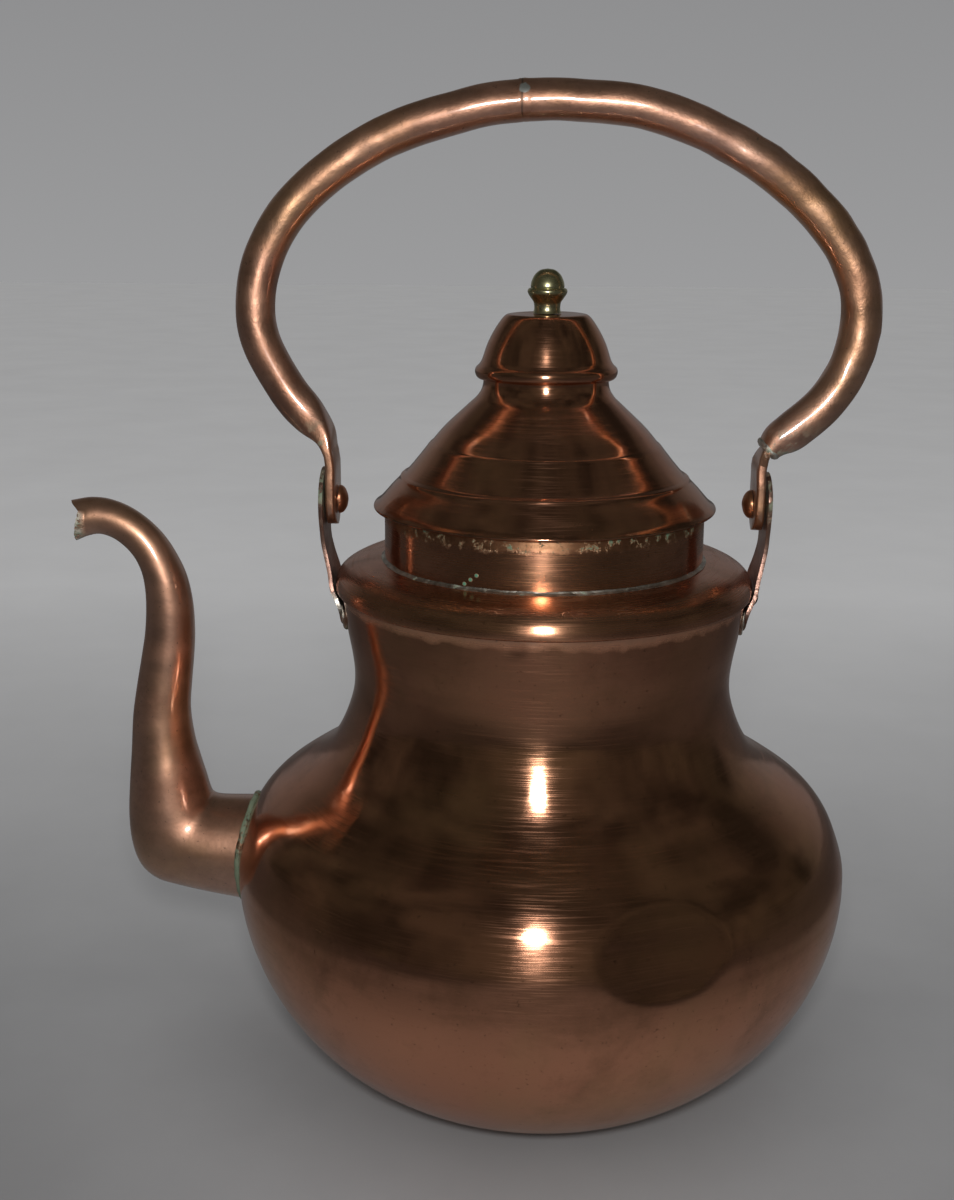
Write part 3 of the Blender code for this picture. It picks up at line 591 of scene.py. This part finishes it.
def open_spout_hole(shell):
    """Takes out the faces of the shell that lie inside the spout's root."""
    work = bmesh.new()
    work.from_mesh(shell.data)
    gone = []
    for face in work.faces:
        x, y, z = face.calc_center_median() / MM
        if x < 0 and (y / HOLE_HALF_WIDE) ** 2 + ((z - HOLE_HEIGHT) / HOLE_HALF_HIGH) ** 2 < 1:
            gone.append(face)
    bmesh.ops.delete(work, geom=gone, context="FACES")
    work.to_mesh(shell.data)
    work.free()


# ---------------------------------------------------------------- spout
def spout_rows(per_span):
    flat = smooth_path([(*a, *b, c) for a, b, c in SPOUT], per_span)
    return [(row[:2], row[2:4], row[4]) for row in flat]


def spout_rings(rows, growth=0.0, count=64):
    rings = []
    for inner, outer, half_wide in rows:
        length = np.linalg.norm(outer - inner)
        across = (outer - inner) / length
        rings.append(ring((inner + outer) / 2, across, length / 2 + growth, half_wide + growth, count=count))
    return rings


def scallop(rings):
    """Draws the last rings back below the upper lip, so that it ends in a small beak over a straight edge."""
    count = len(rings[0])
    turn = 2 * math.pi * (np.arange(count) + 0.5) / count
    down = (1 + np.cos(turn)) / 2  # 0 at the upper lip, 1 at the lower lip
    notch = 3.9 * np.minimum(np.clip(down / 0.2, 0, 1) ** 0.7, (1 - down) / 0.8)
    ragged = np.array([0.5 * noise.noise(Vector((t * 9.0, 7.0, 0.0))) for t in turn]) * (down > 0.15)
    reach = 12
    for back in range(reach):
        fade = (1 - back / reach) ** 1.4
        index = len(rings) - 1 - back
        rings[index] = rings[index] + np.array([1, 0, 0.05]) * ((notch + ragged) * fade)[:, None]
    return rings


def spout_details(n, color, roughness, height):
    """A whitish and green crust on the mouth, below its upper lip."""
    x, _, z = n.axes()
    near = n.math("MULTIPLY", n.ramp(x, -0.1750, -0.1725, 1, 0), n.ramp(z, 0.2232, 0.2245, 1, 0))
    crust = n.math("MULTIPLY", near, n.ramp(n.noise(260, 5, rough=0.75, shift=3.0), 0.40, 0.48))
    scale = n.mix(n.ramp(n.noise(320, 3), 0.4, 0.6), (0.25, 0.30, 0.19), (0.58, 0.55, 0.45))
    color = n.mix(crust, color, scale)
    roughness = n.math("ADD", roughness, n.math("MULTIPLY", crust, 0.5))
    return color, roughness, n.math("ADD", height, n.math("MULTIPLY", crust, 0.4)), crust


def spout_pieces():
    copper = metal(
        "aged_copper_spout", WORN_BRIGHT, WORN_DARK, tarnish=0.6, rough=(0.34, 0.52), dents=0.25,
        extra=spout_details, pits=0.08, **WORN,
    )
    rows = spout_rows(6)
    outer, inner = scallop(spout_rings(rows)), scallop(spout_rings(rows, -0.8))
    loft("gooseneck", outer, inner, copper, "kettle", "spout", change=uneven((22.0, 0.25, 2.0)),
         smooth_under=60)
    root_bead()


def root_bead():
    """The rounded bead of dark solder where the spout leaves the belly."""
    lines = spout_rings(spout_rows(1)[:2], 0.1, 96)
    roots, alongs = [], []
    for a, b in zip(*lines):
        line = a + (b - a) * np.linspace(0, 1, 300)[:, None]
        outside = np.hypot(line[:, 0], line[:, 1]) - body_radius(line[:, 2]) - 0.1
        roots.append(line[np.argmax(outside > 0)])
        alongs.append(unit(b - a))
    roots, alongs = np.array(roots), np.array(alongs)
    wall = unit(roots * [1, 1, 0])
    away = roots - roots.mean(axis=0)
    spread = unit(away - wall * np.sum(away * wall, 1)[:, None])
    count = 12
    points = []
    for root, along, out in zip(roots, alongs, spread):
        middle = root + 0.35 * along + 0.35 * out
        for turn in np.linspace(0, 2 * math.pi, count, endpoint=False):
            points.append(middle + 1.25 * math.cos(turn) * along + 1.05 * math.sin(turn) * out)
    points = wobble(wobble(points, 8.0, 0.35, 1.0), 3.0, 0.25, 5.0)
    dark = solder_material("green_solder", 0.75, ((0.10, 0.075, 0.05), (0.40, 0.24, 0.15)), (0.4, 0.65))
    faces = grid_faces(len(roots), count, True)
    piece("spout_bead", points, faces, dark, "kettle", "spout_solder", smooth_under=60)


# ---------------------------------------------------------------- ears and rivets
def ear_pieces(name, side):
    ear_plate(name, side)
    ear_solder(name, side)


def ear_faces(rows, wide, side):
    faces = []
    for row in range(rows - 1):
        for a in range(row * wide, (row + 1) * wide - 1):
            right = (a, a + 1, a + 1 + wide, a + wide)
            left = (a, a + wide, a + 1 + wide, a + 1)
            faces.append(right if side > 0 else left)
    return faces


def ear_plate(name, side):
    """A bent plate that follows the round body at its foot and is flat at the pivot."""
    rows = smooth_path(EAR, 4)
    columns = np.linspace(-1, 1, 17)
    low, high = EAR_WRAP
    points = []
    for height, face, half in rows:
        y = half * columns
        wrap = np.clip((high - height) / (high - low), 0, 1)
        x = face - wrap * (face - np.sqrt(face**2 - y**2))
        points += [(side * a, b, height) for a, b in zip(x, y)]
    mesh = bpy.data.meshes.new("ear_plate_" + name)
    faces = ear_faces(len(rows), len(columns), side)
    mesh.from_pydata((wobble(points, 12.0, 0.15, side) * MM).tolist(), [], faces)
    mesh.shade_smooth()
    obj = bpy.data.objects.new("ear_plate_" + name, mesh)
    tired = metal(
        "ear_copper_" + name, (0.46, 0.27, 0.21), (0.15, 0.095, 0.08), tarnish=0.7, rough=(0.28, 0.45),
        dents=0.35, dent_size=110, extra=ear_details, pits=0.3,
    )
    mesh.materials.append(tired)
    bpy.context.scene.collection.objects.link(obj)
    thicken(obj)
    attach(obj, "kettle")
    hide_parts("ear_" + name)


def thicken(obj):
    """Gives a flat ear the thickness of its sheet, and rounds the edges."""
    thick = obj.modifiers.new("thickness", "SOLIDIFY")
    thick.thickness = EAR_SHEET * MM
    thick.offset = 1
    thick.use_even_offset = True
    soft = obj.modifiers.new("edge", "BEVEL")
    soft.width = 0.45 * MM
    soft.segments = 3
    soft.angle_limit = math.radians(50)
    soft.harden_normals = False


def ear_solder(name, side):
    """The ragged bead of solder under an ear's foot, thicker on the left."""
    turn = np.radians(np.linspace(176, 364, 60))
    swell = 0.75 + 0.45 * np.array([noise.noise(Vector((t * 5, side, 2.0))) for t in turn])
    swell *= np.clip(np.sin((turn - turn[0]) / (turn[-1] - turn[0]) * math.pi) * 3, 0.25, 1)
    if side < 0:
        swell *= 1.35
    wide, high = FOOT_BEAD_REACH
    count = 10
    points = []
    for t, size in zip(turn, swell):
        y, z = wide * math.cos(t), FOOT_BEAD_HEIGHT + high * math.sin(t)
        middle = np.array([side * math.sqrt((body_radius(z) + 0.5) ** 2 - y**2), y, z])
        out = unit(middle * [1, 1, 0])
        away = unit(np.array([0, math.cos(t), math.sin(t)]))
        for k in range(count):
            a = 2 * math.pi * k / count
            points.append(middle + size * (1.5 * math.cos(a) * away + 0.9 * math.sin(a) * out))
    points = wobble(points, 2.5, 0.3, 3.0)
    faces = grid_faces(len(turn), count)
    faces += [tuple(range(count)), tuple(range(len(points) - count, len(points)))]
    tones = ((0.42, 0.38, 0.31), (0.78, 0.74, 0.66))
    pale = solder_material("ear_solder_look_" + name, 0.3, tones, (0.4, 0.6))
    piece("ear_bead_" + name, points, faces, pale, "kettle", "ear_solder_" + name, smooth_under=60)


def ear_details(n, color, roughness, height):
    """Grey solder run on the foot, more of it on the left ear, and green in the crevice behind the strap."""
    x, _, z = n.axes()
    top = n.ramp(x, -0.01, 0.01, 0.1950, 0.1860)
    ragged = n.math("ADD", z, n.ramp(n.noise(160, 5, rough=0.7), 0, 1, -0.007, 0.007))
    smear = n.math("MULTIPLY", n.ramp(n.math("SUBTRACT", ragged, top), -0.001, 0.001, 1, 0), 0.85)
    color = n.mix(smear, color, (0.50, 0.47, 0.41))
    patchy = n.ramp(n.noise(240, 5, rough=0.7, shift=5.0), 0.48, 0.54)
    green = n.math("MULTIPLY", n.band(z, 0.234, 0.014), patchy)
    color = n.mix(green, color, (0.17, 0.23, 0.15))
    height = n.math("ADD", height, n.math("MULTIPLY", n.math("MAXIMUM", green, smear), 0.3))
    return color, n.math("ADD", roughness, n.math("MULTIPLY", green, 0.3)), height, green


def rivet(name, node, head, shank, tail, head_size, tail_size, place, outward, material):
    """A domed rivet along the outward line, its head hammered a little uneven."""
    radius, high = head_size
    tail_radius, tail_high = tail_size
    to_rim, to_tip = np.linspace(0, math.pi / 2 * 0.97, 14), np.linspace(0.3, math.pi / 2, 8)
    dome = [(radius * math.sin(t), head + high * math.cos(t)) for t in to_rim]
    section = [*dome, (radius, head), (shank, head), (shank, tail), (tail_radius, tail)]
    section += [(tail_radius * math.cos(t), tail - tail_high * math.sin(t)) for t in to_tip]
    section[-1] = (0, section[-1][1])
    points = wobble(wobble(turned_points(section, 48), 5.0, 0.25, place[0]), 2.0, 0.1, 3.0)
    turn = outward.to_track_quat("Z", "Y").to_matrix().to_4x4()
    move = Matrix.Translation(place) @ turn
    points = [tuple(move @ Vector(p)) for p in points]
    piece(name, points, grid_faces(len(section), 48), material, "kettle", node)


def rivet_pieces():
    look = {"tarnish": 0.6, "dents": 0.2, "dent_size": 160}
    copper = metal("rivet_copper", (0.70, 0.30, 0.16), (0.30, 0.13, 0.08), rough=(0.3, 0.45), **look)
    dull = metal("dull_rivet", (0.20, 0.15, 0.14), (0.08, 0.065, 0.065), rough=(0.35, 0.55), **look)
    heights, faces, _ = np.array(EAR).T
    face = np.interp(FOOT_RIVET_HEIGHT, heights, faces)
    below, above = np.interp([FOOT_RIVET_HEIGHT - 2, FOOT_RIVET_HEIGHT + 2], heights, faces)
    slope = (above - below) / 4
    pivot_head = STRAP_THICK + GAP
    pivot_tail = -(EAR_BOW + EAR_SHEET + 2 * GAP) + 0.25
    foot_tail = -(face - body_radius(FOOT_RIVET_HEIGHT) + WALL + 1.0)
    for name, side in (("left", -1), ("right", 1)):
        place = Vector((side * STRAP_FACE, 0, PIVOT_HEIGHT))
        rivet("pivot_head_" + name, "pivot_rivet_" + name, pivot_head, SHANK_RADIUS, pivot_tail,
              PIVOT_HEAD, PIVOT_TAIL, place, Vector((-side, 0, 0)), copper)
        place = Vector((side * face, 0, FOOT_RIVET_HEIGHT))
        outward = Vector((side, 0, -slope)).normalized()
        rivet("foot_head_" + name, "ear_rivet_" + name, EAR_SHEET + 0.05, SHANK_RADIUS - 0.4, foot_tail,
              FOOT_HEADS[name], FOOT_TAIL, place, outward, dull)


# ---------------------------------------------------------------- bail
def path_frames(path, upright_start=True):
    along = unit(np.gradient(path, axis=0))
    across = np.stack([along[:, 1], -along[:, 0]], 1)
    if upright_start:
        across[0] = (0, math.copysign(1, across[0][1]))
    return across


def strap_rings(side):
    rings = []
    for share in np.sin(np.linspace(0, math.pi / 2, 40)) ** 0.9:
        height = STRAP_TOP + (STRAP_END - STRAP_TOP) * share
        below = max(PIVOT_HEIGHT - height, 0) / (PIVOT_HEIGHT - STRAP_END + 0.05)
        half = STRAP_HALF_WIDTH * math.sqrt(1 - below**2)
        half = min(half, STRAP_SHOULDER + (STRAP_HALF_WIDTH - STRAP_SHOULDER) * min(share * 4, 1))
        rings.append(ring((side * STRAP_X, height), (-1, 0), STRAP_THICK / 2, half, STRAP_SQUARENESS))
    return rings


def hammered(points):
    """Flats and soft dents along the bail, more of them on the right shoulder."""
    points = np.array(points)
    moved = wobble(points, 26.0, 0.45, 6.0)
    extra = wobble(points, 8.0, 0.45, 9.0) - points
    share = np.clip((points[:, 0] - 15) / 40, 0.25, 1) * np.clip((points[:, 2] - 262) / 20, 0, 1)
    return moved + extra * share[:, None]


def bail_details(n, color, roughness, height):
    """A patchy grey worn film, and green crust where the straps lie against the ears."""
    film = n.ramp(n.noise(30, 6, stretch=(0.5, 1, 1), rough=0.7, shift=11.0), 0.5, 0.7)
    color = n.mix(n.math("MULTIPLY", film, 0.45), color, (0.54, 0.38, 0.32))
    x, _, z = n.axes()
    patchy = n.ramp(n.noise(230, 5, rough=0.75), 0.5, 0.58)
    low = n.ramp(z, 0.262, 0.246, 0, 1)
    outer = n.math("ADD", n.math("ABSOLUTE", x), n.ramp(n.noise(200, 4, shift=2.0), 0, 1, -0.002, 0.002))
    crust = n.math("MULTIPLY", n.math("MULTIPLY", patchy, low), n.ramp(outer, 0.0815, 0.0825))
    color = n.mix(crust, color, (0.19, 0.25, 0.17))
    roughness = n.math("ADD", roughness, n.math("MULTIPLY", n.math("MAXIMUM", film, crust), 0.1))
    return color, roughness, height, crust


def bail_pieces():
    copper = metal(
        "handled_copper", WORN_BRIGHT, WORN_DARK, tarnish=0.75, rough=(0.34, 0.54), dents=0.9, dent_size=75,
        extra=bail_details, pits=0.2, **WORN,
    )
    left_tube(copper)
    mouth, across, away = right_tube(copper)
    right_strap(copper)
    strap_fillet(mouth, across, away)
    joint_band()


def left_tube(copper):
    """The left half of the bail, its end hammered flat into a strap."""
    path = smooth_path(BAIL_LEFT, 10)
    flat_steps = 25
    flat_from = len(path) - 1 - flat_steps
    outer, inner = [], []
    for i, (centre, across) in enumerate(zip(path, path_frames(path))):
        flat = np.clip((i - flat_from) / flat_steps, 0, 1)
        ease = flat * flat * (3 - 2 * flat)
        thick = TUBE_RADIUS + (STRAP_THICK / 2 - TUBE_RADIUS) * ease
        wide = TUBE_RADIUS + (STRAP_SHOULDER - TUBE_RADIUS) * ease
        power = 2 + (STRAP_SQUARENESS - 2) * ease
        outer.append(ring(centre, across, thick, wide, power))
        if ease < 0.5:
            inner.append(ring(centre, across, thick - TUBE_WALL, wide - TUBE_WALL, power))
    for rings in (outer, inner):
        rings[0] = rings[0] - [JOINT_SHIFT, 0, 0]
    loft("bail_left", outer + strap_rings(-1), inner, copper, "bail", "handle_tube_left", change=hammered,
         blind=True)


def right_tube(copper):
    """The right half, its mouth closed in. Gives back the mouth's middle and its cross and outward ways."""
    path = smooth_path(BAIL_RIGHT, 10)
    frames = path_frames(path)
    closing_steps = 20
    outer, inner = [], []
    for i, (centre, across) in enumerate(zip(path, frames)):
        close = max(i - (len(path) - 1 - closing_steps), 0) / closing_steps
        high, wide = (TUBE_RADIUS + (end - TUBE_RADIUS) * close**1.5 for end in MOUTH)
        outer.append(ring(centre, across, high, wide))
        inner.append(ring(centre, across, high - TUBE_WALL, wide - TUBE_WALL))
    for rings in (outer, inner):
        rings[0] = rings[0] + [JOINT_SHIFT, 0, 0]
    loft("bail_right", outer, inner, copper, "bail", "handle_tube_right", change=hammered)
    return path[-1], frames[-1], unit(path[-1] - path[-2])


def right_strap(copper):
    """The flat bar, narrow where it enters the tube."""
    path = smooth_path(STRAP_RIGHT, 8)
    narrow_steps = 26
    rings = []
    for i, (centre, across) in enumerate(zip(path, path_frames(path, False))):
        spread = np.clip((i - narrow_steps) / (len(path) - 1 - narrow_steps), 0, 1)
        half = STRAP_ROOT + (STRAP_SHOULDER - STRAP_ROOT) * spread
        rings.append(ring(centre, across, STRAP_THICK / 2, half, STRAP_SQUARENESS))
    loft("strap_right", rings + strap_rings(1), None, copper, "bail", "handle_strap_right",
         change=uneven((7.0, 0.25, 3.0)))


def strap_fillet(mouth, across, away):
    """The pale solder that fills the right tube's mouth round the strap."""
    solder = solder_material("bail_solder", 0.2, ((0.50, 0.44, 0.36), (0.86, 0.82, 0.74)))
    high, wide = MOUTH
    steps = ((-0.8, 0.1), (-0.2, 0.35), (0.5, 0.3), (1.2, -0.3), (1.8, -1.3))  # way out, growth
    rim = [ring(mouth + away * out, across, high + grow, wide + grow) for out, grow in steps]
    slot = [ring(mouth + away * out, across, *STRAP_SLOT, STRAP_SQUARENESS) for out, _ in steps]
    loft("strap_fillet", rim, slot, solder, "bail", "strap_solder_right", change=uneven((3.5, 0.35, 2.0)))


def joint_band():
    """The low ridge of solder round the butt joint of the two tubes."""
    steps = ((-2.3, 7.2), (-1.2, 7.35), (0, 7.45), (1.2, 7.35), (2.3, 7.2))  # way along X, radius
    bore_radius, upright = 6.6, (0, 1)
    band = [ring((JOINT_X + x, JOINT_HEIGHT), upright, r, r) for x, r in steps]
    bore = [ring((JOINT_X + x, JOINT_HEIGHT), upright, bore_radius, bore_radius) for x, _ in steps]
    loft("joint_band", band, bore, joint_material(), "bail", "handle_solder", change=uneven((6.0, 0.25, 4.0)))


def joint_material():
    """Silver solder that shows as a small patch on the front, and as a copper-coloured ridge elsewhere."""
    def patch(n, color, roughness, height):
        x, y, z = n.axes()
        ragged = n.math("ADD", z, n.ramp(n.noise(300, 4), 0, 1, -0.0015, 0.0015))
        spot = n.math("MULTIPLY", n.ramp(y, -0.003, -0.002, 1, 0), n.band(ragged, 0.3755, 0.0022))
        spot = n.ramp(n.math("MULTIPLY", spot, n.band(x, -0.0090, 0.0025)), 0.15, 0.3)
        line = n.math("MULTIPLY", n.band(x, -0.0099, 0.0006), 0.8)
        color = n.mix(line, color, (0.10, 0.07, 0.05))
        return n.mix(spot, color, (0.78, 0.80, 0.76)), roughness, height, 0.0
    return metal(
        "silver_soldered_copper", WORN_BRIGHT, WORN_DARK, tarnish=0.75, rough=(0.34, 0.54), dents=0.3,
        dent_size=75, extra=patch, pits=0.2, **WORN,
    )


# ---------------------------------------------------------------- lid
def lid_pieces():
    copper = metal(
        "aged_copper_lid", COPPER_BRIGHT, COPPER_DARK, tarnish=0.6, rough=(0.09, 0.17), dents=0.06,
        extra=lid_details, brushed=0.8,
    )
    line = np.vstack([smooth_path(run, 6)[:-1] for run in LID_RUNS] + [LID_RUNS[-1][-1:]])
    turned("lid_cover", sheet_section(line, THIN), copper, "lid", "lid_dome",
           change=uneven((45.0, 0.25, 3.0)), smooth_under=30)
    line = np.vstack([CROWN_FLAT, smooth_path(CROWN_BULB, 6), smooth_path(CROWN_BEAD, 5)[1:]])
    turned("lid_bulb", sheet_section(line, THIN), copper, "lid", "lid_crown", sides=192,
           change=uneven((25.0, 0.2, 7.0)))
    dull = metal(
        "dull_copper_skirt", (0.62, 0.35, 0.24), (0.24, 0.16, 0.11), tarnish=0.8, rough=(0.3, 0.45),
        dents=0.1,
    )
    line = [(SKIRT_RADIUS, z) for z in np.linspace(SKIRT_TOP, SKIRT_FOOT, 8)]
    turned("skirt_ring", sheet_section(line, 1.0), dull, "lid", "lid_skirt")
    knob_pieces(dull)
    finish_node("handle_spigot", dull)


def knob_pieces(dull):
    """The turned brass knob with its tang, and the washer that the tang is riveted over."""
    brass = metal(
        "old_brass", (0.64, 0.56, 0.34), (0.30, 0.25, 0.13), tarnish=0.5, rough=(0.20, 0.34), dents=0.03,
        dent_size=200, scratches=0.1, extra=lid_details,
    )
    ball, bead = smooth_path(KNOB_BALL, 6), smooth_path(KNOB_BEAD, 6)[1:]
    waist = smooth_path(KNOB_WAIST, 5)[1:]
    top = CROWN_TOP - THIN - GAP
    end = top - 1.5
    tang = [(TANG_RADIUS, 298.35), (TANG_RADIUS, end)]
    tang += [(3.6, end), (3.6, end - 0.7), (2.0, end - 1.3), (0, end - 1.3)]
    profile = np.vstack([ball, bead, waist, tang])
    turned("knob", profile, brass, "lid", "finial", sides=96, smooth_under=50)
    edge, soft, low = WASHER_RADIUS, 0.4, top - WASHER_THICK
    disc = [(WASHER_HOLE, top), (edge - soft, top), (edge, top - soft)]
    disc += [(edge, low + soft), (edge - soft, low), (WASHER_HOLE, low)]
    turned("knob_washer", disc, dull, "lid", "finial_washer", sides=64)


def finish_node(name, material):
    """Gives a look to a CAD node that no finer piece replaces."""
    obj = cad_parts[name]
    obj.data.materials.clear()
    obj.data.materials.append(material)


# ---------------------------------------------------------------- floor, light
def pale_floor():
    """A pale floor with painted light: its colour is darker close by and painted brighter towards the back to
    make up for the lamps' falloff, and where polished metal mirrors it, it is painted darker away from the
    kettle, a painted pool of light.
    """
    mesh = bpy.data.meshes.new("floor")
    size = 6.0
    corners = [(-size, -size, 0), (size, -size, 0), (size, size, 0), (-size, size, 0)]
    mesh.from_pydata(corners, [], [(0, 1, 2, 3)])
    floor = bpy.data.objects.new("floor", mesh)
    bpy.context.scene.collection.objects.link(floor)
    material, n, shader = new_material("pale_floor")
    mottle = n.noise(7, 6, rough=0.6)
    # Painted light: the floor's colour is darker close by and brighter far back, making up for the lamps'
    # falloff.
    near = n.mix(n.ramp(mottle, 0.3, 0.7), (0.31, 0.31, 0.315), (0.35, 0.35, 0.355))
    far = n.mix(n.ramp(mottle, 0.3, 0.7), (0.74, 0.74, 0.745), (0.78, 0.78, 0.785))
    painted_floor_tone = n.mix(n.ramp(n.axes()[1], 0.05, 0.75), near, far)
    x, y, _ = n.axes()
    # Painted shade: rays other than the camera's see the floor darker towards the sides, the front and the
    # back, a painted pool of light round the kettle that polished metal mirrors.
    painted_mirror_shade = n.ramp(n.math("ABSOLUTE", x), 0.08, 0.36, 1.0, 0.35)
    painted_mirror_shade = n.math("MULTIPLY", painted_mirror_shade, n.ramp(y, -0.45, -0.12, 0.62, 0.88))
    painted_mirror_shade = n.math("MULTIPLY", painted_mirror_shade, n.ramp(y, 0.05, 0.3, 1.0, 0.5))
    painted_mirror_shade = n.mix(painted_mirror_shade, (0.0, 0.0, 0.0), painted_floor_tone)
    straight = n.tree.nodes.new("ShaderNodeLightPath").outputs["Is Camera Ray"]
    painted_floor_tone = n.mix(straight, painted_mirror_shade, painted_floor_tone)
    material.node_tree.links.new(painted_floor_tone, shader.inputs["Base Color"])
    shader.inputs["Roughness"].default_value = 0.9
    shader.inputs["Specular IOR Level"].default_value = 0.1
    mesh.materials.append(material)


def room():
    """A pale backdrop, and the dim room that polished metal mirrors: dark in front, grey behind."""
    world = bpy.data.worlds.new("studio")
    bpy.context.scene.world = world
    world.use_nodes = True
    tree = world.node_tree
    n = Nodes(tree)
    way = tree.nodes.new("ShaderNodeTexCoord").outputs["Generated"]
    x, y, z = n.add("ShaderNodeSeparateXYZ", Vector=way).outputs
    patches = n.add("ShaderNodeTexNoise", Vector=way, Scale=3.0, Detail=4.0, Roughness=0.6).outputs["Fac"]
    dim = n.mix(n.ramp(patches, 0.4, 0.65), (0.016, 0.016, 0.014), (0.060, 0.060, 0.050))
    aside = n.math("ADD", n.math("POWER", x, 2.0), n.math("POWER", n.math("SUBTRACT", z, 0.15), 2.0))
    glow = n.math("MULTIPLY", n.ramp(n.math("SQRT", aside), 0.0, 0.75, 1, 0), n.ramp(y, -0.2, -0.6))
    dim = n.mix(n.math("MULTIPLY", glow, 0.7), dim, (0.12, 0.12, 0.098))
    wall = n.math("MULTIPLY", n.ramp(y, 0.45, 0.85), n.ramp(z, 0.55, 0.30))
    mirrored = n.mix(wall, dim, (0.15, 0.15, 0.153))
    seen = n.mix(n.ramp(z, -0.12, 0.14), (0.35, 0.35, 0.355), (0.27, 0.27, 0.275))
    kind = tree.nodes.new("ShaderNodeLightPath").outputs
    color = n.mix(kind["Is Camera Ray"], (0.45, 0.45, 0.45), seen)
    color = n.mix(kind["Is Glossy Ray"], color, mirrored)
    tree.links.new(color, tree.nodes["Background"].inputs["Color"])


LAMP_AT, LAMP_AIM, LAMP_POWER, LAMP_SIZE = (0.0, -0.56, 0.385), (0, 0, 0.16), 6.0, 0.028
OVERHEAD_AT, OVERHEAD_POWER, OVERHEAD_SIZE = (0.0, 0.2, 1.8), 2.5, 1.6


def lamps():
    """A small lamp by the camera, and a soft one overhead that polished metal doesn't mirror."""
    lamp = bpy.data.lights.new("front_lamp", "SPOT")
    lamp.energy = LAMP_POWER
    lamp.shadow_soft_size = LAMP_SIZE
    lamp.spot_size = math.radians(56)
    lamp.spot_blend = 0.6
    front = bpy.data.objects.new("front_lamp", lamp)
    front.location = LAMP_AT
    front.rotation_euler = (Vector(LAMP_AIM) - front.location).to_track_quat("-Z", "Y").to_euler()
    bpy.context.scene.collection.objects.link(front)
    soft = bpy.data.lights.new("overhead", "AREA")
    soft.shape = "DISK"
    soft.size = OVERHEAD_SIZE
    soft.energy = OVERHEAD_POWER
    above = bpy.data.objects.new("overhead", soft)
    above.location = OVERHEAD_AT
    above.visible_glossy = False
    bpy.context.scene.collection.objects.link(above)


make_camera()
pale_floor()
room()
lamps()
bpy.context.scene.view_settings.view_transform = "Standard"
body_pieces()
spout_pieces()
ear_pieces("left", -1)
ear_pieces("right", 1)
rivet_pieces()
bail_pieces()
lid_pieces()
